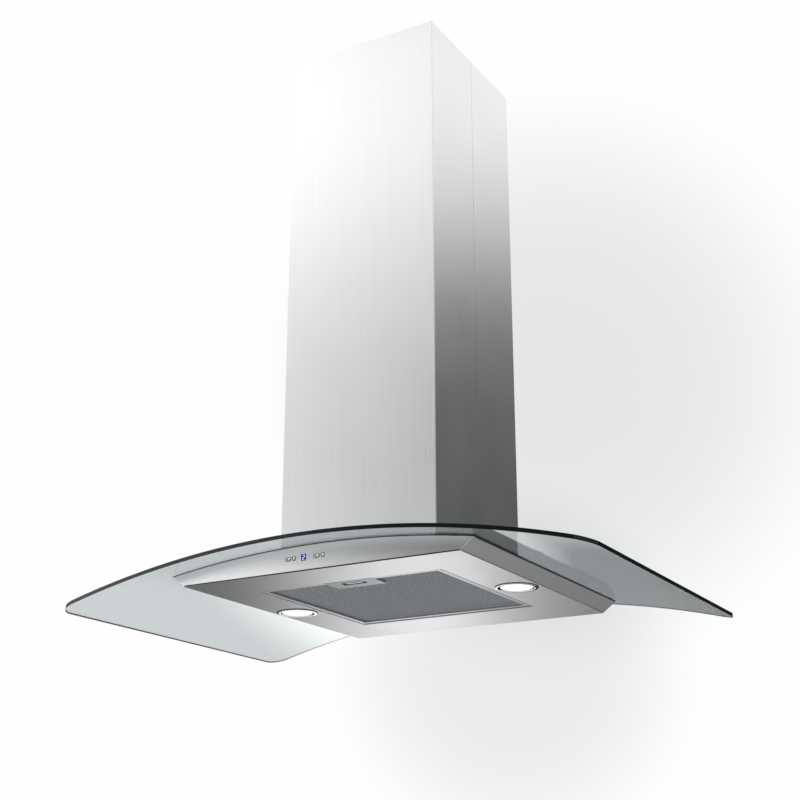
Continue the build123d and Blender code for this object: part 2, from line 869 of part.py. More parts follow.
save(blower_box, "blower_box")

with BuildPart() as blower_cover:
    with BuildSketch(Plane.XZ.offset(post_y)):
        with Locations((0, level(service_middle))):
            Rectangle(service_length + 2 * cover_lap, service_height + 2 * cover_lap)
            with GridLocations(service_length + cover_lap, service_height + cover_lap, 2, 2):
                Circle(screw_radius + screw_fit, mode=Mode.SUBTRACT)
    extrude(amount=sheet)
save(blower_cover, "blower_cover")

with BuildPart() as cover_screws:
    with BuildSketch(Plane.XZ.offset(post_y + sheet)):
        with Locations((0, level(service_middle))):
            with GridLocations(service_length + cover_lap, service_height + cover_lap, 2, 2):
                Circle(screw_head_radius)
    extrude(amount=screw_head_height)
    with BuildSketch(Plane.XZ.offset(post_y + sheet)):
        with Locations((0, level(service_middle))):
            with GridLocations(service_length + cover_lap, service_height + cover_lap, 2, 2):
                Circle(screw_radius)
    extrude(amount=-screw_length)
save(cover_screws, "cover_screws")

# ------------------------------------------------------------------ fan

fan_z = level(fan_height)
scroll_half = scroll_width / 2
outlet_z = level(box_top - sheet)


def scroll_radius(turn):
    """Radius of the scroll's inner wall, which grows evenly from its tongue to its outlet."""
    growth = scroll_outlet_radius - scroll_tongue_radius
    return scroll_tongue_radius + growth * turn / scroll_turns


# the rotor stands as far back as the scroll's foremost point, a quarter turn round, asks
fan_shift = scroll_radius(1 / 4) + scroll_wall + scroll_gap + sheet - post_y


def scroll_outline(wall):
    """The scroll's section across the axis, out to a wall's thickness, in the YZ plane."""
    with BuildSketch(Plane.YZ) as outline:
        with BuildLine():
            turns = [scroll_turns * step / (scroll_points - 1) for step in range(scroll_points)]
            points = [
                (
                    fan_shift - (scroll_radius(turn) + wall) * math.sin(2 * math.pi * turn),
                    fan_z + (scroll_radius(turn) + wall) * math.cos(2 * math.pi * turn),
                )
                for turn in turns
            ]
            spiral = Spline(*points)
            outlet_side = Line(spiral @ 1, (points[-1][0], outlet_z))
            outlet_top = Line(outlet_side @ 1, (fan_shift + scroll_tongue_y - wall, outlet_z))
            tongue = Line(
                outlet_top @ 1, (fan_shift + scroll_tongue_y - wall, points[0][1])
            )
            Line(tongue @ 1, spiral @ 0)
        make_face()
    return outline.sketch


with BuildPart() as fan_scroll:
    extrude(scroll_outline(scroll_wall), amount=scroll_half, both=True)
    with BuildSketch(Plane.XY.offset(outlet_z)):
        Circle(scroll_flange_radius)
    extrude(amount=-scroll_wall)
    extrude(
        scroll_outline(0), amount=scroll_half - scroll_wall, both=True, mode=Mode.SUBTRACT
    )
    with BuildSketch(Plane.YZ.offset(-scroll_half)):
        with Locations((fan_shift, fan_z)):
            Circle(inlet_radius)
    extrude(amount=2 * scroll_wall, mode=Mode.SUBTRACT)
save(fan_scroll, "fan_scroll")

impeller_left = -impeller_width / 2
impeller_right = impeller_width / 2
blade_inner = impeller_radius - blade_depth

with BuildPart() as fan_impeller:
    for x, inner in ((impeller_left, blade_inner), (impeller_right - impeller_rim, hub_radius)):
        with BuildSketch(Plane.YZ.offset(x)):
            with Locations((fan_shift, fan_z)):
                Circle(impeller_radius)
                Circle(inner if inner > hub_radius else shaft_radius, mode=Mode.SUBTRACT)
        extrude(amount=impeller_rim)
    with BuildSketch(Plane.YZ.offset(impeller_left)):
        with Locations((fan_shift, fan_z)):
            with PolarLocations((impeller_radius + blade_inner) / 2, blade_count):
                Rectangle(blade_depth - blade_thickness, blade_thickness, rotation=blade_turn)
    extrude(amount=impeller_width)
    with BuildSketch(Plane.YZ.offset(impeller_right - hub_length)):
        with Locations((fan_shift, fan_z)):
            Circle(hub_radius)
            Circle(shaft_radius, mode=Mode.SUBTRACT)
    extrude(amount=hub_length)
save(fan_impeller, "fan_impeller")

motor_left = -scroll_half
motor_right = motor_left + motor_length

with BuildPart() as fan_motor:
    with BuildSketch(Plane.YZ.offset(motor_left)):
        with Locations((fan_shift, fan_z)):
            Circle(motor_radius)
    extrude(amount=motor_length)
    fillet(fan_motor.faces().sort_by(Axis.X)[-1].edges(), motor_boss_length)
    with BuildSketch(Plane.YZ.offset(motor_right)):
        with Locations((fan_shift, fan_z)):
            Circle(motor_boss_radius)
    extrude(amount=motor_boss_length)
    with BuildSketch(Plane.YZ.offset(motor_left)):
        with Locations((fan_shift, fan_z)):
            Circle(shaft_radius + shaft_clearance)
    extrude(amount=motor_length + motor_boss_length, mode=Mode.SUBTRACT)
save(fan_motor, "fan_motor")

with BuildPart() as fan_shaft:
    with BuildSketch(Plane.YZ.offset(motor_left + side_gap)):
        with Locations((fan_shift, fan_z)):
            Circle(shaft_radius)
    extrude(amount=impeller_right - motor_left - side_gap)
save(fan_shaft, "fan_shaft")

with BuildPart() as motor_bracket:
    # a ring on the scroll's inlet side, with three arms to the motor's end
    with BuildSketch(Plane.YZ.offset(-scroll_half)):
        with Locations((fan_shift, fan_z)):
            Circle(inlet_radius + bracket_ring)
            Circle(inlet_radius, mode=Mode.SUBTRACT)
            Circle(bracket_hub_radius)
            with PolarLocations(0, 3):
                Rectangle(
                    inlet_radius + bracket_ring / 2,
                    bracket_arm,
                    align=(Align.MIN, Align.CENTER),
                )
    extrude(amount=-bracket_thickness)
save(motor_bracket, "motor_bracket")

with BuildPart() as motor_capacitor:
    with BuildSketch(Plane.XY.offset(outlet_z)):
        with Locations((capacitor_x, capacitor_y)):
            Circle(capacitor_radius)
    extrude(amount=-capacitor_length)
    fillet(motor_capacitor.faces().sort_by(Axis.Z)[0].edges(), lip_radius)
save(motor_capacitor, "motor_capacitor")

# ------------------------------------------------------------------ outlet collar and damper

rod_z = level(box_top + damper_height)
flap_low = rod_z - damper_flap_thickness / 2
spigot_inner = spigot_radius - spigot_wall

with BuildPart() as outlet_collar:
    with BuildSketch(Plane.XY.offset(level(box_top))):
        Circle(spigot_flange_radius)
    extrude(amount=spigot_flange)
    with BuildSketch(Plane.XY.offset(level(box_top))):
        Circle(spigot_radius)
    extrude(amount=spigot_height)
    with BuildSketch(Plane.XY.offset(level(box_top))):
        Circle(spigot_inner)
    extrude(amount=spigot_height, mode=Mode.SUBTRACT)
    with BuildSketch(Plane.XY.offset(flap_low - side_gap)):
        Circle(spigot_inner + spigot_wall / 2)
        Circle(spigot_inner - damper_ledge_depth - spigot_wall / 2, mode=Mode.SUBTRACT)
        # the ledge stops short of the hinge's knuckles
        Rectangle(2 * spigot_inner, 2 * damper_knuckle_radius + 2 * side_gap, mode=Mode.SUBTRACT)
    extrude(amount=-damper_ledge_thickness)
    with BuildSketch(Plane.YZ.offset(-spigot_radius)):
        with Locations((0, rod_z)):
            Circle(damper_rod_radius + damper_rod_clearance)
    extrude(amount=2 * spigot_radius, mode=Mode.SUBTRACT)
save(outlet_collar, "outlet_collar")

with BuildPart() as damper_rod:
    with BuildSketch(Plane.YZ.offset(-spigot_radius)):
        with Locations((0, rod_z)):
            Circle(damper_rod_radius)
    extrude(amount=2 * spigot_radius)
save(damper_rod, "damper_rod")


knuckle_step = damper_knuckle_length + damper_knuckle_gap


def damper_flap(side):
    """A half disc on two of the rod's four knuckles, side -1 in front and +1 behind."""
    knuckles = [(index - 1.5) * knuckle_step for index in range(4) if index % 2 == (side > 0)]
    tongue = damper_hinge_margin + sheet
    with BuildPart() as flap:
        with BuildSketch(Plane.XY.offset(flap_low)):
            Circle(damper_flap_radius)
            with Locations((0, side * (damper_hinge_margin - damper_flap_radius))):
                Rectangle(3 * damper_flap_radius, 2 * damper_flap_radius, mode=Mode.SUBTRACT)
            with Locations(*[(x, side * tongue / 2) for x in knuckles]):
                Rectangle(damper_knuckle_length, tongue)
        extrude(amount=damper_flap_thickness)
        for x in knuckles:
            with BuildSketch(Plane.YZ.offset(x - damper_knuckle_length / 2)):
                with Locations((0, rod_z)):
                    Circle(damper_knuckle_radius)
            extrude(amount=damper_knuckle_length)
        with BuildSketch(Plane.YZ.offset(-spigot_radius)):
            with Locations((0, rod_z)):
                Circle(damper_rod_radius + damper_rod_clearance)
        extrude(amount=2 * spigot_radius, mode=Mode.SUBTRACT)
    return flap


save(damper_flap(-1), "damper_flap_front")
save(damper_flap(1), "damper_flap_rear")

# ------------------------------------------------------------------ terminal box and gland

with BuildPart() as terminal_box:
    with BuildSketch(Plane.XY.offset(level(box_top))):
        with Locations((0, terminal_y)):
            Rectangle(terminal_length, terminal_depth)
    extrude(amount=terminal_height)
    with BuildSketch(Plane.XY.offset(level(box_top + terminal_wall))):
        with Locations((0, terminal_y)):
            Rectangle(terminal_length - 2 * terminal_wall, terminal_depth - 2 * terminal_wall)
    extrude(amount=terminal_height, mode=Mode.SUBTRACT)
save(terminal_box, "terminal_box")

lid_low = box_top + terminal_height
lid_high = lid_low + terminal_lid_height

with BuildPart() as terminal_lid:
    with BuildSketch(Plane.XY.offset(level(lid_low))):
        with Locations((0, terminal_y)):
            Rectangle(terminal_length, terminal_depth)
            Circle(gland_thread_radius + screw_fit, mode=Mode.SUBTRACT)
    extrude(amount=terminal_lid_height)
save(terminal_lid, "terminal_lid")

with BuildPart() as cable_gland:
    with BuildSketch(Plane.XY.offset(level(lid_high))):
        with Locations((0, terminal_y)):
            RegularPolygon(gland_hex / 2, 6, major_radius=False)
    extrude(amount=gland_hex_height)
    with BuildSketch(Plane.XY.offset(level(lid_high + gland_hex_height))):
        with Locations((0, terminal_y)):
            Circle(gland_dome_radius)
    extrude(amount=gland_dome_height)
    fillet(cable_gland.faces().sort_by(Axis.Z)[-1].edges(), gland_dome_radius / 3)
    with BuildSketch(Plane.XY.offset(level(lid_high))):
        with Locations((0, terminal_y)):
            Circle(gland_thread_radius)
    extrude(amount=-gland_shank - terminal_lid_height)
    with BuildSketch(Plane.XY.offset(level(lid_high + gland_hex_height + gland_dome_height))):
        with Locations((0, terminal_y)):
            Circle(gland_bore_radius)
    extrude(amount=-gland_shank - terminal_height, mode=Mode.SUBTRACT)
save(cable_gland, "cable_gland")

# ------------------------------------------------------------------ glass clamps

pad_low_radius = glass_top_radius + curve_gap
clamp_low_radius = pad_low_radius + pad_thickness + curve_gap

with BuildPart() as clamp_feet:
    extrude(
        arch_profile(clamp_spacing, clamp_low_radius, clamp_low_radius + clamp_sheet),
        amount=box_depth,
        both=True,
    )
    with BuildSketch(Plane.XY.offset(level(crown))):
        with GridLocations(clamp_spacing, box_depth + clamp_foot, 2, 2):
            Rectangle(clamp_width, clamp_foot)
    extrude(amount=clamp_top - crown, mode=Mode.INTERSECT)

with BuildPart() as glass_clamps:
    with BuildSketch(Plane.XY.offset(level(crown))):
        with GridLocations(clamp_spacing, box_depth + clamp_sheet, 2, 2):
            Rectangle(clamp_width, clamp_sheet)
    extrude(amount=clamp_top - crown)
    extrude(
        arch_profile(clamp_spacing, glass_radius - 2 * crown, clamp_low_radius),
        amount=box_depth,
        both=True,
        mode=Mode.SUBTRACT,
    )
    add(clamp_feet.part)
    with BuildSketch(Plane.XZ.offset(box_depth)):
        with Locations(
            (-clamp_spacing / 2, level(clamp_screw_height)),
            (clamp_spacing / 2, level(clamp_screw_height)),
        ):
            Circle(screw_radius + screw_fit)
    extrude(amount=-2 * box_depth, mode=Mode.SUBTRACT)
save(glass_clamps, "glass_clamps")

pad_depth = post_y + clamp_foot - cutout_depth / 2 - pad_inset

with BuildPart() as clamp_pads:
    extrude(
        arch_profile(clamp_spacing, pad_low_radius, pad_low_radius + pad_thickness),
        amount=box_depth,
        both=True,
    )
    with BuildSketch(Plane.XY.offset(level(crown))):
        with GridLocations(clamp_spacing, cutout_depth + pad_inset + pad_depth, 2, 2):
            Rectangle(clamp_width - pad_inset, pad_depth)
    extrude(amount=clamp_top - crown, mode=Mode.INTERSECT)
save(clamp_pads, "clamp_pads")

with BuildPart() as clamp_screws:
    for side in (-1, 1):
        for length, radius in (
            (screw_head_height, screw_head_radius),
            (-screw_length, screw_radius),
        ):
            with BuildSketch(Plane.XZ.offset(-side * (post_y + clamp_sheet))):
                with Locations(
                    (-clamp_spacing / 2, level(clamp_screw_height)),
                    (clamp_spacing / 2, level(clamp_screw_height)),
                ):
                    Circle(radius)
            extrude(amount=-side * length)
save(clamp_screws, "clamp_screws")

# ------------------------------------------------------------------ hanging frame

lower_outer_x = post_x + angle_sheet
lower_outer_y = post_y + angle_sheet
upper_outer_x = lower_outer_x + angle_gap + angle_sheet
upper_outer_y = lower_outer_y + angle_gap + angle_sheet
bolt_y = post_y - angle_leg / 2 + seat_gap
slot_low = frame_bolt_heights[0] - height_travel - frame_slot_margin
slot_high = frame_bolt_heights[1] + frame_slot_margin
plate_under = -ceiling_sheet


def angle_section(hand, outer_x, outer_y, height):
    """Two equal-leg angles on one side's corners (hand -1 left, +1 right), legs inwards."""
    with BuildSketch(Plane.XY.offset(level(height))) as section:
        for front in (-1, 1):
            with Locations((hand * (outer_x - angle_leg / 2), front * (outer_y - angle_leg / 2))):
                Rectangle(angle_leg, angle_leg)
            with Locations(
                (
                    hand * (outer_x - angle_sheet - angle_leg / 2),
                    front * (outer_y - angle_sheet - angle_leg / 2),
                )
            ):
                Rectangle(angle_leg, angle_leg, mode=Mode.SUBTRACT)
    return section.sketch


for hand, hand_name in ((-1, "left"), (1, "right")):
    with BuildPart() as lower_posts:
        extrude(
            angle_section(hand, lower_outer_x, lower_outer_y, lower_post_bottom),
            amount=lower_post_top - lower_post_bottom,
        )
        with BuildSketch(Plane.YZ.offset(hand * lower_outer_x)):
            with Locations(
                *[
                    (front * bolt_y, level(height))
                    for front in (-1, 1)
                    for height in frame_bolt_heights
                ]
            ):
                Circle(frame_bolt_radius + frame_bolt_fit)
        extrude(amount=-hand * angle_sheet, mode=Mode.SUBTRACT)
    save(lower_posts, f"lower_posts_{hand_name}")

    with BuildPart() as upper_posts:
        extrude(
            angle_section(hand, upper_outer_x, upper_outer_y, upper_post_bottom),
            amount=drop - upper_post_bottom - ceiling_sheet - foot_thickness,
        )
        with BuildSketch(Plane.XY.offset(plate_under - foot_thickness)):
            for front in (-1, 1):
                with Locations(
                    (
                        hand * (upper_outer_x - foot_size / 2),
                        front * (upper_outer_y - foot_size / 2),
                    )
                ):
                    Rectangle(foot_size, foot_size)
                    Circle(foot_screw_radius + foot_screw_fit, mode=Mode.SUBTRACT)
        extrude(amount=foot_thickness)
        with BuildSketch(Plane.YZ.offset(hand * upper_outer_x)):
            with Locations(
                *[(front * bolt_y, level((slot_low + slot_high) / 2)) for front in (-1, 1)]
            ):
                SlotOverall(
                    slot_high - slot_low,
                    2 * (frame_bolt_radius + frame_slot_gap),
                    rotation=90,
                )
        extrude(amount=-hand * angle_sheet, mode=Mode.SUBTRACT)
    save(upper_posts, f"upper_posts_{hand_name}")

with BuildPart() as post_bolts:
    # a hexagon bolt through each pair of angles, with its head inside and its nut outside
    for hand in (-1, 1):
        nut_x = upper_outer_x + angle_gap
        head_x = post_x - bolt_head_height
        for start_x, length, hexagon in (
            (head_x, bolt_head_height, True),
            (head_x, nut_x + nut_height - head_x, False),
            (nut_x, nut_height, True),
        ):
            with BuildSketch(Plane.YZ.offset(hand * start_x)):
                with Locations(
                    *[
                        (front * bolt_y, level(height))
                        for front in (-1, 1)
                        for height in frame_bolt_heights
                    ]
                ):
                    if hexagon:
                        RegularPolygon(bolt_head / 2, 6, major_radius=False)
                    else:
                        Circle(frame_bolt_radius)
            extrude(amount=hand * length)
save(post_bolts, "post_bolts")

# ------------------------------------------------------------------ ceiling plate

plate_length = chimney_length - 2 * (sheet + telescope_gap) - 2 * (sheet + ceiling_fit)
plate_depth = chimney_depth - 2 * (sheet + telescope_gap) - 2 * (sheet + ceiling_fit)

with BuildPart() as ceiling_plate:
    with BuildSketch(Plane.XY):
        RectangleRounded(plate_length, plate_depth, chimney_bend)
        Circle(duct_hole_radius, mode=Mode.SUBTRACT)
    extrude(amount=-ceiling_sheet)
    with BuildSketch(Plane.XY):
        with GridLocations(ceiling_bolt_x, ceiling_bolt_y, 2, 2):
            Circle(ceiling_bolt_radius)
        with GridLocations(2 * upper_outer_x - foot_size, 2 * upper_outer_y - foot_size, 2, 2):
            Circle(foot_screw_radius + foot_screw_fit)
        with Locations((0, terminal_y)):
            Circle(cable_hole_radius)
    extrude(amount=-ceiling_sheet, mode=Mode.SUBTRACT)
save(ceiling_plate, "ceiling_plate")

with BuildPart() as ceiling_rim:
    # the upright strip under the plate's edge, to which the upper chimney is fixed
    with BuildSketch(Plane.XY.offset(plate_under)):
        RectangleRounded(plate_length, plate_depth, chimney_bend)
        Rectangle(plate_length - 2 * ceiling_sheet, plate_depth - 2 * ceiling_sheet, mode=Mode.SUBTRACT)
    extrude(amount=-ceiling_flange)
save(ceiling_rim, "ceiling_rim")

with BuildPart() as foot_screws:
    with BuildSketch(Plane.XY.offset(plate_under - foot_thickness)):
        with GridLocations(2 * upper_outer_x - foot_size, 2 * upper_outer_y - foot_size, 2, 2):
            Circle(foot_screw_head_radius)
    extrude(amount=-foot_screw_head_height)
    with BuildSketch(Plane.XY.offset(plate_under - foot_thickness)):
        with GridLocations(2 * upper_outer_x - foot_size, 2 * upper_outer_y - foot_size, 2, 2):
            Circle(foot_screw_radius)
    extrude(amount=foot_thickness + ceiling_sheet - seat_gap)
save(foot_screws, "foot_screws")

# ------------------------------------------------------------------ chimney

chimney_foot_radius = glass_top_radius + seal_thickness + 2 * curve_gap
inner_x = chimney_length / 2 - sheet


def chimney_half(side, length, depth):
    """Half of a folded rectangular tube's section, side -1 in front and +1 behind."""
    with BuildSketch(Plane.XY.offset(level(crown))) as section:
        RectangleRounded(length, depth, chimney_bend)
        RectangleRounded(length - 2 * sheet, depth - 2 * sheet, chimney_bend - sheet, mode=Mode.SUBTRACT)
        with Locations((0, side * (seam_gap - depth) / 2)):
            Rectangle(2 * length, depth, mode=Mode.SUBTRACT)
    return section.sketch


def trim_to_glass():
    """What stands on the glass's upper face, as a cut below an arc."""
    return arch_profile(chimney_length, glass_radius - 2 * crown, chimney_foot_radius)


lower_length = drop - crown - chimney_top_gap

with BuildPart() as lower_chimney_front:
    extrude(chimney_half(-1, chimney_length, chimney_depth), amount=lower_length)
    extrude(trim_to_glass(), amount=chimney_depth, both=True, mode=Mode.SUBTRACT)
save(lower_chimney_front, "lower_chimney_front")

with BuildPart() as lower_chimney_rear:
    extrude(chimney_half(1, chimney_length, chimney_depth), amount=lower_length)
    with BuildSketch(Plane.XY.offset(level(crown))):
        for hand in (-1, 1):
            # the lap strip lies behind the seam on the front half's inner face
            with Locations((hand * (inner_x - lap_gap - sheet / 2), 0)):
                Rectangle(sheet, 2 * lap_width)
            with Locations((hand * (inner_x - sheet / 2), lap_width / 2 + seam_gap / 2)):
                Rectangle(sheet + lap_gap, lap_width - seam_gap)
    extrude(amount=lower_length)
    extrude(trim_to_glass(), amount=chimney_depth, both=True, mode=Mode.SUBTRACT)
save(lower_chimney_rear, "lower_chimney_rear")

upper_length = chimney_length - 2 * (sheet + telescope_gap)
upper_depth = chimney_depth - 2 * (sheet + telescope_gap)

for side, side_name in ((-1, "front"), (1, "rear")):
    with BuildPart() as upper_chimney:
        extrude(
            chimney_half(side, upper_length, upper_depth),
            amount=drop - crown - upper_chimney_top_gap,
        )
        with BuildSketch(Plane.XY.offset(level(crown))):
            Rectangle(chimney_length, chimney_depth)
        extrude(amount=upper_chimney_bottom - crown, mode=Mode.SUBTRACT)
    save(upper_chimney, f"upper_chimney_{side_name}")

with BuildPart() as chimney_seal:
    extrude(
        arch_profile(
            chimney_length, glass_top_radius + curve_gap, glass_top_radius + curve_gap + seal_thickness
        ),
        amount=chimney_depth,
        both=True,
    )
    with BuildSketch(Plane.XY.offset(level(0))):
        Rectangle(chimney_length - sheet, chimney_depth - sheet)
        Rectangle(
            chimney_length - sheet - 2 * seal_width,
            chimney_depth - sheet - 2 * seal_width,
            mode=Mode.SUBTRACT,
        )
    extrude(amount=2 * crown, mode=Mode.INTERSECT)
save(chimney_seal, "chimney_seal")
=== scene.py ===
"""Dresses a ceiling-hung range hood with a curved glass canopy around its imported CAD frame.

It is laid out as an add-on with one operator for each group of pieces, and run as a script.
Lengths are in metres in the part's own frame: the ceiling is z 0 and the controls face -Y.
"""

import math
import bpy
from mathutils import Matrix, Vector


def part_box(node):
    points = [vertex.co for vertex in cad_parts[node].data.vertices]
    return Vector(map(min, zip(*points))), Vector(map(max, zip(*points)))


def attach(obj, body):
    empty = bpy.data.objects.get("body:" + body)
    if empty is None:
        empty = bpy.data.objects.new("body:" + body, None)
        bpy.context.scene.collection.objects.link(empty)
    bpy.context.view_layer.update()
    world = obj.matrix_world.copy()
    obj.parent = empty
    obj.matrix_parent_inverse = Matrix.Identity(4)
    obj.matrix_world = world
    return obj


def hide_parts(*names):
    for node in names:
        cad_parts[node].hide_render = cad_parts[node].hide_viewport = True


bl_info = {
    "name": "Curved Glass Range Hood",
    "version": (1, 0, 0),
    "blender": (4, 5, 0),
    "location": "3D View > Sidebar > Hood",
    "description": "Builds the glass, filter net, lamps, controls and finishes of a range hood",
    "category": "Object",
}

import bmesh
import bpy
from bpy.props import FloatProperty, FloatVectorProperty, PointerProperty
from bpy.types import Operator, Panel, PropertyGroup
from mathutils import Vector

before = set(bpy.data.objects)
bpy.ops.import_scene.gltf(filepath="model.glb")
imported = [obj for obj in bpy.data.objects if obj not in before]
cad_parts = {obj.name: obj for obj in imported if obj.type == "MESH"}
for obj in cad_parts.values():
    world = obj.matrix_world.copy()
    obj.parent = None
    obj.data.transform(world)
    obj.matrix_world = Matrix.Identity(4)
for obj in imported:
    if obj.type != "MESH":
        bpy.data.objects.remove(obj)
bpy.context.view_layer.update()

MM = 0.001
NEAR = 0.01 * MM  # places that differ by less are the same
FACING = 0.9  # share of a unit vector that lies along the axis it is taken to follow
FACETS = 96  # sides of a round shape
panel_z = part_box("underside_panel")[0].z  # lower face of the stainless underside
glass_low, glass_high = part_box("glass_canopy")
blower_low, blower_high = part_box("blower_box")
skirt_low, skirt_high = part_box("filter_frame")
net_low, net_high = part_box("filter_mesh")
window_low, window_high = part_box("display_window")


def linear(code):
    """Scene-linear RGBA of an sRGB hex colour."""
    channels = [int(code[i : i + 2], 16) / 255 for i in (1, 3, 5)]
    curve = [c / 12.92 if c <= 0.04045 else ((c + 0.055) / 1.055) ** 2.4 for c in channels]
    return (*curve, 1.0)


def length(name, description, default):
    """A length property, in metres."""
    return FloatProperty(
        name=name, description=description, default=default, min=0.0, precision=5, unit="LENGTH"
    )


def colour(name, description, code):
    """A colour property whose default is an sRGB hex colour."""
    return FloatVectorProperty(
        name=name,
        description=description,
        default=linear(code),
        size=4,
        min=0.0,
        max=1.0,
        subtype="COLOR",
    )


class HoodSizes(PropertyGroup):
    """Sizes of the pieces that are modelled here."""

    arch_radius: length("Arch radius", "Lower face of the glass arch", 1.62)
    arch_crown: length("Crown", "Lower face of the glass above the panel, at the middle", 0.04)
    glass_thickness: length("Glass", "Thickness of the glass", 0.006)
    glass_corner: length("Glass corner", "Radius of the glass's four corners, from above", 0.03)
    glass_polish: length("Polished edge", "Width of the rounding along the glass's edges", 0.0013)
    cutout_gap: length("Cut-out gap", "Between the blower box and the glass", 0.005)
    cutout_corner: length("Cut-out corner", "Radius of the cut-out's corners", 0.008)
    rim_width: length("Filter rim", "Width of the grease filter's rim", 0.008)
    net_length: length("Net diamond length", "Long way of one diamond of the front net", 0.013)
    net_height: length("Net diamond height", "Short way of one diamond of the front net", 0.0064)
    strand: length("Net strand", "Thickness of the front net's strands", 0.0011)
    net_play: length("Net play", "Between a net and the filter frame", 0.0003)
    net_depth: length("Net depth", "Front net, from the filter's front end to its rear", 0.299)
    lamp_dome: length("Lamp dome", "Drop of a lamp's lit glass below its flange", 0.0014)
    lamp_aperture: length("Lamp aperture", "Radius of a lamp's lit glass", 0.0251)
    lamp_mouth: length("Lamp mouth", "Inner radius of a lamp's chrome ring", 0.0268)
    sheet: length("Sheet", "Thickness of the stainless sheet", 0.001)
    # The next three sizes are of the black strips of painted shade along the fascias' feet.
    seal_height: length("Shade strip height", "Foot seal above the panel's sheet", 0.0009)
    seal_depth: length("Shade strip depth", "Foot seal behind the fascia's skin", 0.0012)
    seal_proud: length("Shade strip proud", "Foot seal before the fascia's skin", 0.0003)
    button_collar: length("Button collar", "Hidden collar round a button", 0.0008)
    surround_width: length("Surround width", "Dark surround of a button", 0.0006)
    surround_proud: length("Surround height", "Dark surround, in front of the fascia", 0.0003)
    digit_height: length("Digit height", "Lit figure on the display", 0.0066)
    digit_stroke: length("Digit stroke", "Width of the figure's bars", 0.0008)


class HoodColours(PropertyGroup):
    """Colours of the main finishes."""

    steel: colour("Stainless steel", "Brushed stainless steel", "#CDCECF")
    glass: colour("Glass", "Clear glass, seen through one face", "#D0D7D8")
    glass_edge: colour("Glass edge", "Polished edge of the glass", "#141D1B")
    aluminium: colour("Filter aluminium", "Frame of the grease filter", "#B4B7BA")
    net: colour("Net aluminium", "Expanded nets of the grease filter", "#CED1D4")
    chrome: colour("Chrome", "Lamp rings", "#DADBDD")
    lamp: colour("Lamp light", "Light of the lamps", "#FFFCF5")
    display: colour("Display light", "Light of the digit", "#C9C6FF")
    floor: colour("Floor", "Studio floor", "#DEDEDF")


# ------------------------------------------------------------------ modelling helpers


def clear_selection():
    """Leaves object mode with nothing selected."""
    if bpy.context.mode != "OBJECT":
        bpy.ops.object.mode_set(mode="OBJECT")
    bpy.ops.object.select_all(action="DESELECT")


def pick(piece):
    """Makes a piece the only selected one, and the active one."""
    clear_selection()
    piece.select_set(True)
    bpy.context.view_layer.objects.active = piece


def start(name):
    """Names the primitive that was just added, and applies its place to its mesh."""
    piece = bpy.context.object
    piece.name = name
    piece.data.name = name
    bpy.ops.object.transform_apply(location=True, rotation=True, scale=True)
    return piece


def select(piece, kind, test):
    """In edit mode, selects just the faces, edges or verts that pass a test."""
    mesh = bmesh.from_edit_mesh(piece.data)
    mesh.select_mode = {{"faces": "FACE", "edges": "EDGE", "verts": "VERT"}[kind]}
    for face in mesh.faces:
        face.select_set(False)
    for item in [*mesh.edges, *mesh.verts]:
        item.select_set(False)
    for item in getattr(mesh, kind):
        if test(item):
            item.select_set(True)
    mesh.select_flush_mode()
    bmesh.update_edit_mesh(piece.data)


def apply_modifier(piece, kind, **settings):
    """Adds a modifier with its settings and applies it."""
    pick(piece)
    modifier = piece.modifiers.new(kind.lower(), kind)
    for key, value in settings.items():
        setattr(modifier, key, value)
    bpy.ops.object.modifier_apply(modifier=modifier.name)


def remove(piece):
    """Deletes a helper piece and its mesh."""
    mesh = piece.data
    bpy.data.objects.remove(piece)
    bpy.data.meshes.remove(mesh)


def smooth(piece, degrees):
    """Shades a piece smooth, apart from edges sharper than an angle."""
    pick(piece)
    bpy.ops.object.shade_smooth_by_angle(angle=math.radians(degrees))


def check_closed(piece):
    """Raises if a piece's mesh is empty, or has an open or a loose edge."""
    mesh = bmesh.new()
    mesh.from_mesh(piece.data)
    open_edges = sum(1 for edge in mesh.edges if not edge.is_manifold)
    mesh.free()
    if open_edges or not piece.data.polygons:
        raise RuntimeError(f"{piece.name} has {open_edges} open edges")


def dress(piece, materials):
    """Gives a piece its materials, in slot order."""
    piece.data.materials.clear()
    for material in materials:
        piece.data.materials.append(material)


def runs_along(edge, axis):
    """True for a straight edge along an axis: 0 is x, 1 is y and 2 is z."""
    return abs((edge.verts[0].co - edge.verts[1].co).normalized()[axis]) > FACING


def block(name, low, high):
    """A block between two corners, left in edit mode."""
    clear_selection()
    bpy.ops.mesh.primitive_cube_add(
        size=1,
        location=[(a + b) / 2 for a, b in zip(low, high)],
        scale=[b - a for a, b in zip(low, high)],
    )
    piece = start(name)
    bpy.ops.object.mode_set(mode="EDIT")
    return piece


def rounded_block(name, low, high, axis, radius, segments):
    """A block whose four edges along an axis are rounded, left in edit mode."""
    piece = block(name, low, high)
    select(piece, "edges", lambda edge: runs_along(edge, axis))
    bpy.ops.mesh.bevel(offset=radius, offset_type="OFFSET", segments=segments, affect="EDGES")
    return piece


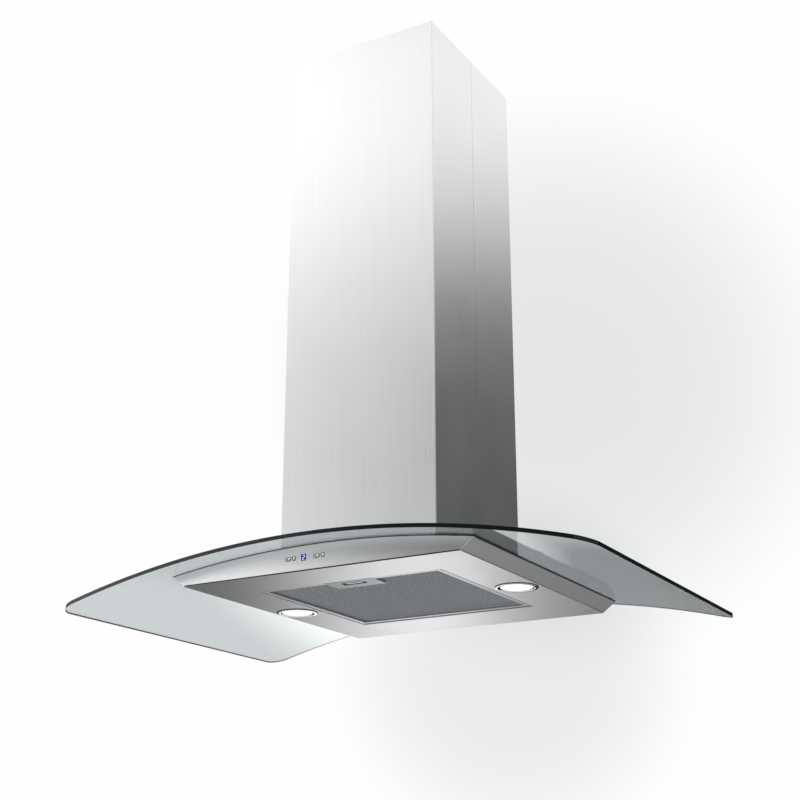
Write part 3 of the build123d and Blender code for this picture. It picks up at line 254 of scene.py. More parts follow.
def turned(name, centre, profile):
    """A closed ring turned about an upright axis: profile is (radius, height above centre).

    It starts as a circle, extruded and scaled from point to point, back to its start.
    """
    clear_selection()
    radius, height = profile[0]
    bpy.ops.mesh.primitive_circle_add(
        vertices=FACETS, radius=radius, location=(centre[0], centre[1], centre[2] + height)
    )
    piece = start(name)
    bpy.ops.object.mode_set(mode="EDIT")
    bpy.ops.mesh.select_all(action="SELECT")
    for (r0, h0), (r1, h1) in zip(profile, profile[1:] + profile[:1]):
        bpy.ops.mesh.extrude_edges_move(TRANSFORM_OT_translate={"value": (0, 0, h1 - h0)})
        bpy.ops.transform.resize(value=(r1 / r0, r1 / r0, 1), center_override=centre)
    bpy.ops.mesh.select_all(action="SELECT")
    bpy.ops.mesh.remove_doubles(threshold=NEAR)
    bpy.ops.mesh.normals_make_consistent(inside=False)
    bpy.ops.object.mode_set(mode="OBJECT")
    check_closed(piece)
    return piece


def copied(piece, name, shift):
    """A copy of a piece with its own mesh, moved by a shift that is applied."""
    pick(piece)
    bpy.ops.object.duplicate(linked=False)
    bpy.ops.transform.translate(value=shift)
    return start(name)


# ------------------------------------------------------------------ materials


def add_node(tree, kind, props=None, values=None, links=None):
    """Adds a node: its own settings, its sockets' values and what is linked into them."""
    node = tree.nodes.new(kind)
    for key, value in (props or {}).items():
        setattr(node, key, value)
    for key, value in (values or {}).items():
        node.inputs[key].default_value = value
    for key, source in (links or {}).items():
        tree.links.new(source, node.inputs[key])
    return node


def new_material(name):
    """An empty material's node tree."""
    material = bpy.data.materials.new(name)
    material.use_nodes = True
    material.node_tree.nodes.clear()
    return material, material.node_tree


def close_material(tree, shader):
    """Ends a material with its shader."""
    add_node(tree, "ShaderNodeOutputMaterial", links={"Surface": shader.outputs[0]})


def pattern(tree, period, detail=2.0, roughness=0.5):
    """Noise on the object's own coordinates; period is its size in metres along x, y and z."""
    place = add_node(tree, "ShaderNodeTexCoord")
    scaled = add_node(
        tree,
        "ShaderNodeMapping",
        values={"Scale": [1 / p for p in period]},
        links={"Vector": place.outputs["Object"]},
    )
    return add_node(
        tree,
        "ShaderNodeTexNoise",
        values={"Scale": 1.0, "Detail": detail, "Roughness": roughness},
        links={"Vector": scaled.outputs[0]},
    )


def spread(tree, source, low, high, least=0.3, most=0.7):
    """Maps a pattern's values, from its least to its most, to a range of values."""
    return add_node(
        tree,
        "ShaderNodeMapRange",
        values={"From Min": least, "From Max": most, "To Min": low, "To Max": high},
        links={"Value": source},
    )


def tint(tree, source, dark, light, least=0.3, most=0.7):
    """Maps a pattern's values, from its least to its most, to a run of colours."""
    ramp = add_node(tree, "ShaderNodeValToRGB", links={"Fac": source})
    ramp.color_ramp.elements[0].position = least
    ramp.color_ramp.elements[0].color = dark
    ramp.color_ramp.elements[1].position = most
    ramp.color_ramp.elements[1].color = light
    return ramp


def shade(rgba, factor):
    """A colour made darker or lighter by a factor."""
    return (*[min(1.0, c * factor) for c in rgba[:3]], 1.0)


def brushed_metal(name, base, along, roughness=0.3):
    """Sheet metal brushed with a belt along one axis: fine straight scratches.

    Reflections stay crisp along the scratches and smear across them. Real scratches are about
    0.05 mm wide; they are drawn 0.9 mm wide, as fine as the render shows.
    """
    material, tree = new_material(name)
    scratch_width, scratch_length, cloud_size = 0.9 * MM, 160 * MM, 120 * MM
    period = [scratch_width] * 3
    period["XYZ".index(along)] = scratch_length
    scratches = pattern(tree, period, detail=3.0, roughness=0.6)
    clouds = pattern(tree, [cloud_size] * 3)
    colour_run = tint(tree, scratches.outputs[0], shade(base, 0.97), shade(base, 1.03))
    rough = spread(tree, scratches.outputs[0], roughness - 0.02, roughness + 0.02)
    wear = spread(tree, clouds.outputs[0], -0.012, 0.012)
    total = add_node(
        tree,
        "ShaderNodeMath",
        props={"operation": "ADD"},
        links={0: rough.outputs[0], 1: wear.outputs[0]},
    )
    bump = add_node(
        tree,
        "ShaderNodeBump",
        values={"Strength": 0.12, "Distance": 0.02 * MM},
        links={"Height": scratches.outputs[0]},
    )
    across = add_node(tree, "ShaderNodeTangent", props={"direction_type": "RADIAL", "axis": along})
    shader = add_node(
        tree,
        "ShaderNodeBsdfPrincipled",
        values={"Metallic": 1.0, "Anisotropic": 0.75},
        links={
            "Base Color": colour_run.outputs[0],
            "Roughness": total.outputs[0],
            "Normal": bump.outputs[0],
            "Tangent": across.outputs[0],
        },
    )
    close_material(tree, shader)
    return material


def float_glass(name, base):
    """Clear float glass, tempered: smooth, faintly blue-green, with a mirror-like sheen."""
    material, tree = new_material(name)
    ripple = pattern(tree, [60 * MM] * 3)
    run = tint(tree, ripple.outputs[0], shade(base, 0.985), base)
    haze = spread(tree, ripple.outputs[0], 0.015, 0.035)
    shader = add_node(
        tree,
        "ShaderNodeBsdfPrincipled",
        values={"IOR": 1.52, "Transmission Weight": 1.0},
        links={"Base Color": run.outputs[0], "Roughness": haze.outputs[0]},
    )
    close_material(tree, shader)
    return material


def polished_glass_edge(name, base):
    """Ground and polished edge of float glass: green-black, since it is seen lengthways.

    The light that falls on it goes into the glass, so it shines less than a solid would.
    """
    material, tree = new_material(name)
    ground = pattern(tree, [1.5 * MM] * 3)
    run = tint(tree, ground.outputs[0], shade(base, 0.8), shade(base, 1.25))
    rough = spread(tree, ground.outputs[0], 0.08, 0.16)
    shader = add_node(
        tree,
        "ShaderNodeBsdfPrincipled",
        values={"IOR": 1.52, "Specular IOR Level": 0.25},
        links={"Base Color": run.outputs[0], "Roughness": rough.outputs[0]},
    )
    close_material(tree, shader)
    return material


def zinc_spangle(name, code):
    """Hot-dip galvanised sheet: flat crystals about 9 mm across, each with its own grey."""
    material, tree = new_material(name)
    base = linear(code)
    crystal = 9 * MM
    place = add_node(tree, "ShaderNodeTexCoord")
    crystals = add_node(
        tree,
        "ShaderNodeTexVoronoi",
        values={"Scale": 1 / crystal},
        links={"Vector": place.outputs["Object"]},
    )
    grey = add_node(tree, "ShaderNodeSeparateColor", links={"Color": crystals.outputs["Color"]})
    run = tint(tree, grey.outputs[0], shade(base, 0.82), shade(base, 1.12), 0.0, 1.0)
    rough = spread(tree, grey.outputs[1], 0.32, 0.5, 0.0, 1.0)
    shader = add_node(
        tree,
        "ShaderNodeBsdfPrincipled",
        values={"Metallic": 1.0},
        links={"Base Color": run.outputs[0], "Roughness": rough.outputs[0]},
    )
    close_material(tree, shader)
    return material


def plain_metal(name, base, grain, roughness, bump_height):
    """A bare or plated metal with an even grain: cast, rolled, plated or polished."""
    material, tree = new_material(name)
    noise = pattern(tree, [grain] * 3, detail=3.0)
    run = tint(tree, noise.outputs[0], shade(base, 0.92), shade(base, 1.04))
    rough = spread(tree, noise.outputs[0], roughness * 0.85, roughness * 1.2)
    bump = add_node(
        tree,
        "ShaderNodeBump",
        values={"Strength": 0.3, "Distance": bump_height},
        links={"Height": noise.outputs[0]},
    )
    shader = add_node(
        tree,
        "ShaderNodeBsdfPrincipled",
        values={"Metallic": 1.0},
        links={
            "Base Color": run.outputs[0],
            "Roughness": rough.outputs[0],
            "Normal": bump.outputs[0],
        },
    )
    close_material(tree, shader)
    return material


def moulded(name, code, grain, roughness, coat=0.0):
    """A moulded plastic or rubber: an even colour with the mould's spark-eroded texture."""
    material, tree = new_material(name)
    base = linear(code)
    texture = pattern(tree, [grain] * 3)
    run = tint(tree, texture.outputs[0], shade(base, 0.9), shade(base, 1.08))
    rough = spread(tree, texture.outputs[0], roughness * 0.9, min(1.0, roughness * 1.12))
    bump = add_node(
        tree,
        "ShaderNodeBump",
        values={"Strength": 0.25, "Distance": grain / 8},
        links={"Height": texture.outputs[0]},
    )
    shader = add_node(
        tree,
        "ShaderNodeBsdfPrincipled",
        values={"IOR": 1.53, "Coat Weight": coat, "Coat Roughness": 0.1},
        links={
            "Base Color": run.outputs[0],
            "Roughness": rough.outputs[0],
            "Normal": bump.outputs[0],
        },
    )
    close_material(tree, shader)
    return material


def glowing(name, base, light, strength, grain, roughness):
    """A plastic or glass that is lit from behind, with a soft unevenness."""
    material, tree = new_material(name)
    noise = pattern(tree, [grain] * 3)
    run = tint(tree, noise.outputs[0], shade(light, 0.96), light)
    shader = add_node(
        tree,
        "ShaderNodeBsdfPrincipled",
        values={
            "Base Color": base,
            "Roughness": roughness,
            "IOR": 1.5,
            "Emission Strength": strength,
        },
        links={"Emission Color": run.outputs[0]},
    )
    close_material(tree, shader)
    return material


# Which CAD nodes take each finish. The new pieces take theirs in their own operators.
CAD_FINISHES = {
    "stainless, brushed upright": [
        "lower_chimney_front",
        "lower_chimney_rear",
        "upper_chimney_front",
        "upper_chimney_rear",
    ],
    "stainless, brushed lengthways": [
        "front_fascia",
        "rear_fascia",
        "underside_panel",
        "canopy_deck",
    ],
    "handle aluminium": ["filter_handle"],
    "stainless, brushed front to back": ["left_side_band", "right_side_band"],
    "galvanised steel sheet": [
        "blower_box",
        "blower_cover",
        "suction_chamber",
        "motor_bracket",
        "glass_clamps",
        "ceiling_plate",
        "ceiling_rim",
        "upper_posts_left",
        "upper_posts_right",
        "lower_posts_left",
        "lower_posts_right",
        "fan_scroll",
        "damper_flap_front",
        "damper_flap_rear",
    ],
    "zinc-plated steel": [
        "post_bolts",
        "foot_screws",
        "clamp_screws",
        "cover_screws",
        "fan_shaft",
        "damper_rod",
    ],
    "spring steel": ["filter_latch"],
    "filter aluminium": ["filter_frame"],
    "die-cast aluminium": ["fan_motor", "lamp_body_left", "lamp_body_right"],
    "EPDM rubber": ["glass_gasket", "chimney_seal", "clamp_pads"],
    "black ABS": ["control_housing", "outlet_collar", "cable_gland"],
    "grey ABS": ["terminal_box", "terminal_lid", "motor_capacitor"],
    "white nylon": ["fan_impeller"],
    "satin-plated ABS": ["button_light", "button_minus", "button_plus", "button_timer"],
    "smoked acrylic": ["display_window"],
    "solder mask": ["control_board"],
}


def make_finishes(colours):
    """Makes every material of the CAD nodes and the new pieces, by name."""
    steel = tuple(colours.steel)
    return {
        "stainless, brushed upright": brushed_metal("stainless_upright", steel, "Z"),
        "stainless, brushed lengthways": brushed_metal("stainless_lengthways", steel, "X"),
        "stainless, brushed front to back": brushed_metal("stainless_crossways", steel, "Y"),
        "galvanised steel sheet": zinc_spangle("galvanised_sheet", "#B4B8BA"),
        "zinc-plated steel": plain_metal(
            "zinc_plated_steel", linear("#C3C4BE"), 0.6 * MM, 0.3, 0.01 * MM
        ),
        "spring steel": plain_metal("spring_steel", linear("#A9ACAF"), 0.8 * MM, 0.28, 0.01 * MM),
        "filter aluminium": plain_metal(
            "rolled_aluminium", tuple(colours.aluminium), 1.2 * MM, 0.34, 0.02 * MM
        ),
        "net aluminium": plain_metal(
            "expanded_aluminium", tuple(colours.net), 0.9 * MM, 0.42, 0.03 * MM
        ),
        "handle aluminium": brushed_metal("handle_aluminium", linear("#A3A6A9"), "X", 0.36),
        "die-cast aluminium": plain_metal(
            "die_cast_aluminium", linear("#A7A9AB"), 0.9 * MM, 0.5, 0.06 * MM
        ),
        "chrome": plain_metal("chrome_plate", tuple(colours.chrome), 8 * MM, 0.07, 0.004 * MM),
        "EPDM rubber": moulded("epdm_rubber", "#1A1B1C", 0.7 * MM, 0.75),
        "black ABS": moulded("black_abs", "#1C1D1F", 0.8 * MM, 0.55),
        "grey ABS": moulded("grey_abs", "#9A9C9E", 0.8 * MM, 0.5),
        "white nylon": moulded("white_nylon", "#D8D7D0", 1.0 * MM, 0.45),
        "satin-plated ABS": plain_metal(
            "satin_plated_abs", linear("#B9BCBF"), 0.5 * MM, 0.3, 0.005 * MM
        ),
        "solder mask": moulded("solder_mask", "#1E5B34", 1.5 * MM, 0.35, coat=0.4),
        "smoked acrylic": glowing(
            "smoked_acrylic", linear("#1B143C"), linear("#3A2FB4"), 0.28, 3 * MM, 0.12
        ),
        "lit segment": glowing(
            "lit_segment", linear("#E9E8FF"), tuple(colours.display), 1.0, 2 * MM, 0.3
        ),
        "frosted lamp glass": glowing(
            "frosted_lamp_glass", linear("#F4F4F0"), tuple(colours.lamp), 1.0, 12 * MM, 0.35
        ),
        "black frit": moulded("black_glass_frit", "#101112", 2 * MM, 0.3),
        "float glass": float_glass("float_glass", tuple(colours.glass)),
        "polished glass edge": polished_glass_edge(
            "polished_glass_edge", tuple(colours.glass_edge)
        ),
    }


def finish(name):
    """A material by its finish, from those that the finishes operator has made."""
    return bpy.data.materials[bpy.context.scene["hood_finishes"][name]]


# ------------------------------------------------------------------ operators


class HOOD_OT_finishes(Operator):
    """Makes the materials, and gives each CAD node its own"""

    bl_idname = "hood.finishes"
    bl_label = "Finishes"

    def execute(self, context):
        made = make_finishes(context.scene.hood_colours)
        context.scene["hood_finishes"] = {key: item.name for key, item in made.items()}
        for key, nodes in CAD_FINISHES.items():
            for node in nodes:
                dress(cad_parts[node], [made[key]])
        return {"FINISHED"}


SPARE = 1.02  # the glass blank is this much larger than the canopy that is cut from it
CUTTER_REACH = 50 * MM  # a cutter stands out this far above and below the glass
ARCH_STEPS = 96  # steps of the glass arch
POLISHED_FROM = 50  # edges of the glass that are sharper than this, in degrees, are rounded
FACE_ON = 0.995  # a face turned this close to the arch's radius is clear, and others are edge


class HOOD_OT_glass(Operator):
    """Spins the glass arch, cuts its outline and its opening, and polishes its edges"""

    bl_idname = "hood.glass"
    bl_label = "Glass canopy"

    def execute(self, context):
        sizes = context.scene.hood_sizes
        centre_z = panel_z + sizes.arch_crown - sizes.arch_radius
        middle_radius = sizes.arch_radius + sizes.glass_thickness / 2
        half_angle = math.asin(glass_high.x / sizes.arch_radius) * SPARE
        clear_selection()
        bpy.ops.mesh.primitive_plane_add(
            size=1,
            location=(
                -middle_radius * math.sin(half_angle),
                0,
                centre_z + middle_radius * math.cos(half_angle),
            ),
            rotation=(0, -math.pi / 2 - half_angle, 0),
        )
        blank_depth = (glass_high.y - glass_low.y) * SPARE
        bpy.context.object.scale = (sizes.glass_thickness, blank_depth, 1)
        glass = start("glass_arch")
        bpy.ops.object.mode_set(mode="EDIT")
        bpy.ops.mesh.select_all(action="SELECT")
        bpy.ops.mesh.spin(
            steps=ARCH_STEPS, angle=2 * half_angle, center=(0, 0, centre_z), axis=(0, -1, 0)
        )
        bpy.ops.mesh.select_all(action="SELECT")
        bpy.ops.mesh.remove_doubles(threshold=NEAR)
        bpy.ops.mesh.normals_make_consistent(inside=False)
        bpy.ops.object.mode_set(mode="OBJECT")
        check_closed(glass)

        self.cut(glass, "INTERSECT", glass_low, glass_high, 0, sizes.glass_corner, 14)
        gap = sizes.cutout_gap
        self.cut(glass, "DIFFERENCE", blower_low, blower_high, gap, sizes.cutout_corner, 8)
        apply_modifier(
            glass,
            "BEVEL",
            width=sizes.glass_polish,
            segments=3,
            limit_method="ANGLE",
            angle_limit=math.radians(POLISHED_FROM),
        )
        check_closed(glass)
        dress(glass, [finish("float glass"), finish("polished glass edge")])
        for face in glass.data.polygons:
            outward = Vector((face.center.x, 0, face.center.z - centre_z)).normalized()
            face.material_index = 0 if abs(face.normal.dot(outward)) > FACE_ON else 1
        smooth(glass, degrees=8)
        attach(glass, "hood")
        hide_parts("glass_canopy")
        return {"FINISHED"}

    def cut(self, glass, operation, low, high, gap, corner, segments):
        """Cuts the glass with an upright block, larger all round by a gap."""
        cutter = rounded_block(
            "glass_cutter",
            (low.x - gap, low.y - gap, glass_low.z - CUTTER_REACH),
            (high.x + gap, high.y + gap, glass_high.z + CUTTER_REACH),
            axis=2,
            radius=corner,
            segments=segments,
        )
        apply_modifier(glass, "BOOLEAN", operation=operation, object=cutter, solver="EXACT")
        remove(cutter)


def expanded_net(name, low, high, cell, z, strand):
    """One layer of expanded metal: a lattice of diamonds, with strands along its edges."""
    clear_selection()
    bpy.ops.mesh.primitive_grid_add(
        x_subdivisions=round((high[0] - low[0]) / cell[0]),
        y_subdivisions=round((high[1] - low[1]) / cell[1]),
        size=1,
        location=((low[0] + high[0]) / 2, (low[1] + high[1]) / 2, z),
    )
    bpy.context.object.scale = (high[0] - low[0], high[1] - low[1], 1)
    net = start(name)
    bpy.ops.object.mode_set(mode="EDIT")
    bpy.ops.mesh.select_all(action="SELECT")
    bpy.ops.mesh.poke()

    def on_grid(edge):
        run = edge.verts[0].co - edge.verts[1].co
        return min(abs(run.x), abs(run.y)) < NEAR and not edge.is_boundary

    select(net, "edges", on_grid)
    bpy.ops.mesh.dissolve_edges(use_verts=False)
    bpy.ops.object.mode_set(mode="OBJECT")
    apply_modifier(net, "WIREFRAME", thickness=strand, offset=0.0, use_even_offset=False)
    return net


# The filter's inner nets: name, coarseness against the front net, whether the diamonds lie
# from left to right and not from front to back, and depth below the top of the stack.
INNER_NETS = [
    ("second", 1.0, True, 4.5 * MM),
    ("third", 0.9, False, 3.0 * MM),
    ("fourth", 1.15, True, 1.5 * MM),
    ("back", 1.1, False, 0.0),
]


class HOOD_OT_filter_net(Operator):
    """Builds the grease filter's stack of expanded aluminium layers"""

    bl_idname = "hood.filter_net"
    bl_label = "Filter net"

    def execute(self, context):
        sizes = context.scene.hood_sizes
        # the front net ends at the rim, and the inner nets reach into the frame's channel
        rim = sizes.rim_width + sizes.net_play
        front_low = (skirt_low.x + rim, skirt_low.y + rim)
        front_high = (skirt_high.x - rim, skirt_low.y + sizes.net_depth)
        diamond = (sizes.net_height, sizes.net_length)
        self.lay("front", front_low, front_high, diamond, net_low.z + sizes.strand, sizes)
        play = sizes.net_play
        inner_low = (net_low.x + play, net_low.y + play)
        inner_high = (net_high.x - play, net_high.y - play)
        for name, coarseness, crossways, below in INNER_NETS:
            cell = [side * coarseness for side in (reversed(diamond) if crossways else diamond)]
            z = net_high.z - sizes.strand - below
            self.lay(name, inner_low, inner_high, cell, z, sizes)
        return {"FINISHED"}

    def lay(self, name, low, high, cell, z, sizes):
        """Adds one net of the stack."""
        net = expanded_net(f"filter_net_{name}", low, high, cell, z, sizes.strand)
        dress(net, [finish("net aluminium")])
        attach(net, "filter")
        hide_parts("filter_mesh")


LENS_PLAY = 0.3 * MM  # between a lamp's glass and its ring's sleeve
SLEEVE_WALL = 2.0 * MM  # thickness of the sleeve
LIP_WIDTH = 1.0 * MM  # a ring's lip stands out this far, over the black ring of painted reflection below it
DARK_RING_PLAY = 0.05 * MM  # between a ring and the black ring of painted reflection below it
LIP_HEIGHT, DARK_RING_REACH = 0.6, 0.58  # shares of a ring's height that its lip and its black ring of painted reflection are at
FRIT_FROM = 0.9  # share of the lit glass's radius outside which its flange is black

# A lamp's dome: its lip, and then how far each ring goes inwards, in shares of the radius,
# and down, in shares of the drop.
DOME_LIP = 0.1
DOME_RINGS = [(0.02, 0.14), (0.05, 0.2), (0.15, 0.25), (0.25, 0.2), (0.3, 0.11)]


class HOOD_OT_lamps(Operator):
    """Turns each lamp's chrome ring, with a black ring of painted reflection on its outer wall,
    and domes its frosted glass
    """

    bl_idname = "hood.lamps"
    bl_label = "Lamps"

    def execute(self, context):
        sizes = context.scene.hood_sizes
        ring_low, ring_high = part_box("lamp_ring_left")
        lens_low, lens_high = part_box("lamp_lens_left")
        centre = ((ring_low.x + ring_high.x) / 2, (ring_low.y + ring_high.y) / 2, panel_z)
        outer = (ring_high.x - ring_low.x) / 2
        proud = panel_z - ring_low.z
        lens_radius = (lens_high.x - lens_low.x) / 2
        profile = self.ring_profile(
            outer, proud, sizes.lamp_mouth, lens_radius + LENS_PLAY, ring_high.z - panel_z
        )
        ring = turned("lamp_trim_left", centre, profile)
        dress(ring, [finish("chrome")])
        smooth(ring, degrees=40)
        # painted reflection: a black rubber ring under the chrome lip draws the dark reflection on
        # the ring's near outer wall
        dark_ring_inner = outer - (LIP_WIDTH - DARK_RING_PLAY)
        dark_ring_low = -DARK_RING_REACH * proud
        painted_dark_piece = turned(
            "lamp_seal_left",
            centre,
            [(outer, 0.0), (outer, dark_ring_low), (dark_ring_inner, dark_ring_low), (dark_ring_inner, 0.0)],
        )
        dress(painted_dark_piece, [finish("EPDM rubber")])
        smooth(painted_dark_piece, degrees=40)
        lens = self.lens(centre, lens_radius, lens_low.z, lens_high.z, sizes)

        to_right = (-2 * centre[0], 0, 0)
        for hand, trim, dark_reflection_ring, glass in (
            ("left", ring, painted_dark_piece, lens),
            (
                "right",
                copied(ring, "lamp_trim_right", to_right),
                copied(painted_dark_piece, "lamp_seal_right", to_right),
                copied(lens, "lamp_glass_right", to_right),
            ),
        ):
            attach(trim, "hood")
            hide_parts(f"lamp_ring_{hand}")
            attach(dark_reflection_ring, "hood")
            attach(glass, "hood")
            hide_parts(f"lamp_lens_{hand}")
        return {"FINISHED"}

    def ring_profile(self, outer, proud, mouth, sleeve, top):
        """The section of a lamp's ring, from behind its lip round to the sleeve above it."""
        back = outer - LIP_WIDTH
        return [
            (back, 0.0),
            (back, -LIP_HEIGHT * proud),
            # the lip, with its edge rounded into the flat face
            (outer - 0.2 * MM, -LIP_HEIGHT * proud),
            (outer - 0.2 * MM, -0.76 * proud),
            (outer - 0.5 * MM, -0.9 * proud),
            (outer - 1.2 * MM, -0.98 * proud),
            (outer - 3.0 * MM, -proud),
            # the rounded mouth and its steep wall
            (mouth + 1.2 * MM, -proud),
            (mouth + 0.5 * MM, -0.93 * proud),
            (mouth, -0.7 * proud),
            (mouth, 0.0),
            # the sleeve round the glass
            (sleeve, 0.0),
            (sleeve, top),
            (sleeve + SLEEVE_WALL, top),
            (sleeve + SLEEVE_WALL, 0.0),
        ]

    def lens(self, centre, lens_radius, flange_z, top_z, sizes):
        """A flange with a black frit, and the lit dome that stands down through the ring."""
        clear_selection()
        bpy.ops.mesh.primitive_cylinder_add(
            vertices=FACETS,
            radius=lens_radius,
            depth=top_z - flange_z,
            location=(centre[0], centre[1], (flange_z + top_z) / 2),
        )
        lens = start("lamp_glass_left")
        bpy.ops.object.mode_set(mode="EDIT")
        select(lens, "faces", lambda face: face.normal.z < -FACING)
        radius = sizes.lamp_aperture
        bpy.ops.mesh.inset(thickness=lens_radius - radius, depth=0)
        bpy.ops.mesh.extrude_region_move(
            TRANSFORM_OT_translate={"value": (0, 0, -DOME_LIP * sizes.lamp_dome)}
        )
        for inwards, down in DOME_RINGS:
            bpy.ops.mesh.inset(thickness=inwards * radius, depth=down * sizes.lamp_dome)
        bpy.ops.object.mode_set(mode="OBJECT")
        check_closed(lens)
        dress(lens, [finish("frosted lamp glass"), finish("black frit")])
        for face in lens.data.polygons:
            out = Vector((face.center.x - centre[0], face.center.y - centre[1], 0)).length
            in_flange = face.center.z > flange_z - NEAR
            face.material_index = 1 if in_flange and out > radius * FRIT_FROM else 0
        smooth(lens, degrees=50)
        return lens


SLOT_END = 0.49  # share of a slot's height that each of its rounded ends is wide
FLAT_ON = 0.99  # a face turned this close to the front is the flat inside a rounded edge
CAP_EDGE = 0.35 * MM  # rounding of a button cap's front edge
CAP_RIM = 0.7 * MM  # flat rim of a cap
CAP_SLOPE = 0.5 * MM  # slope inside the rim
CAP_DISH = 0.25 * MM  # depth of the cap's dished middle
SURROUND_PLAY = 0.25 * MM  # between a cap and its surround

# The lit figure two: how far each bar lies to the right of its middle and above it, in
# quarters of its height, and whether the bar is upright.
DIGIT_BARS = [(0, 2, False), (1, 1, True), (0, 0, False), (-1, -1, True), (0, -2, False)]
BAR_GAP = 0.25 * MM  # a bar is this much shorter than half the figure
BAR_DEPTH = 0.2 * MM
BAR_PROUD = 0.15 * MM  # a bar stands this far in front of the display window
BAR_POINT = 0.45  # share of a bar's width that its cut corners take


def slot_block(name, low, high, corner, edge=0.0):
    """A block with rounded ends, seen from the front, where its front edge may be rounded too.

    It is left in edit mode, with the flat of its front face selected.
    """
    piece = rounded_block(name, low, high, axis=1, radius=corner, segments=10)
    select(piece, "faces", lambda face: face.normal.y < -FACING)
    if edge:
        bpy.ops.mesh.bevel(offset=edge, offset_type="OFFSET", segments=3, affect="EDGES")
        select(piece, "faces", lambda face: face.normal.y < -FLAT_ON)
    return piece


class HOOD_OT_controls(Operator):
    """Shapes the four buttons with their dark surrounds, and the digit of the display"""

    bl_idname = "hood.controls"
    bl_label = "Controls"

    def execute(self, context):
        sizes = context.scene.hood_sizes
        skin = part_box("front_fascia")[0].y
        collar = sizes.button_collar
        for key in ("light", "minus", "plus", "timer"):
            low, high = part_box(f"button_{key}")
            face_low = (low.x + collar, low.y, low.z + collar)
            face_high = (high.x - collar, high.y, high.z - collar)
            corner = (face_high[2] - face_low[2]) * SLOT_END
            cap = slot_block(f"button_cap_{key}", face_low, face_high, corner, CAP_EDGE)
            bpy.ops.mesh.inset(thickness=CAP_RIM, depth=0)
            bpy.ops.mesh.inset(thickness=CAP_SLOPE, depth=-CAP_DISH)
            bpy.ops.object.mode_set(mode="OBJECT")
            check_closed(cap)
            dress(cap, [finish("satin-plated ABS")])
            smooth(cap, degrees=40)
            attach(cap, f"{key}_button")
            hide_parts(f"button_{key}")

            width = sizes.surround_width
            trim = slot_block(
                f"button_surround_{key}",
                (face_low[0] - width, skin - sizes.surround_proud, face_low[2] - width),
                (face_high[0] + width, skin, face_high[2] + width),
                corner + width,
            )
            # a hole through the front and the back, with its wall bridged between them
            bpy.ops.mesh.inset(thickness=width - SURROUND_PLAY, depth=0)
            bpy.ops.mesh.delete(type="FACE")
            select(trim, "faces", lambda face: face.normal.y > FACING)
            bpy.ops.mesh.inset(thickness=width - SURROUND_PLAY, depth=0)
            bpy.ops.mesh.delete(type="FACE")
            select(trim, "edges", lambda edge: edge.is_boundary)
            bpy.ops.mesh.bridge_edge_loops()
            bpy.ops.mesh.select_all(action="SELECT")
            bpy.ops.mesh.normals_make_consistent(inside=False)
            bpy.ops.object.mode_set(mode="OBJECT")
            check_closed(trim)
            dress(trim, [finish("black ABS")])
            smooth(trim, degrees=40)
            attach(trim, "hood")
        self.digit(sizes)
        return {"FINISHED"}

    def digit(self, sizes):
        """A lit seven-segment figure two on the display window, of bars with cut corners."""
        middle_x = (window_low.x + window_high.x) / 2
        middle_z = (window_low.z + window_high.z) / 2
        quarter = sizes.digit_height / 4
        half_bar = (2 * quarter - BAR_GAP) / 2
        half_stroke = sizes.digit_stroke / 2
        front = window_low.y - BAR_PROUD
        bars = []
        for right, up, upright in DIGIT_BARS:
            x = middle_x + right * quarter
            z = middle_z + up * quarter
            half_x, half_z = (half_stroke, half_bar) if upright else (half_bar, half_stroke)
            piece = rounded_block(
                "display_digit",
                (x - half_x, front, z - half_z),
                (x + half_x, front + BAR_DEPTH, z + half_z),
                axis=1,
                radius=sizes.digit_stroke * BAR_POINT,
                segments=1,
            )
            bpy.ops.object.mode_set(mode="OBJECT")
            bars.append(piece)
        clear_selection()
        for piece in bars:
            piece.select_set(True)
        bpy.context.view_layer.objects.active = bars[0]
        bpy.ops.object.join()
        digit = bpy.context.object
        digit.name = "display_digit"
        check_closed(digit)
        dress(digit, [finish("lit segment")])
        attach(digit, "hood")


SHADE_STRIP_SHORT = 1.0 * MM  # a foot strip of painted shade ends this far before each end of the panel
LIP_PLAY = 0.02 * MM  # between the panel's cut edge and the lip that hangs in front of it
LIP_DROP = 0.85  # share of the panel's thickness that the lip hangs down
SHADE_STRIP_ROUNDING = 0.1 * MM  # rounding of a foot strip's outer edges


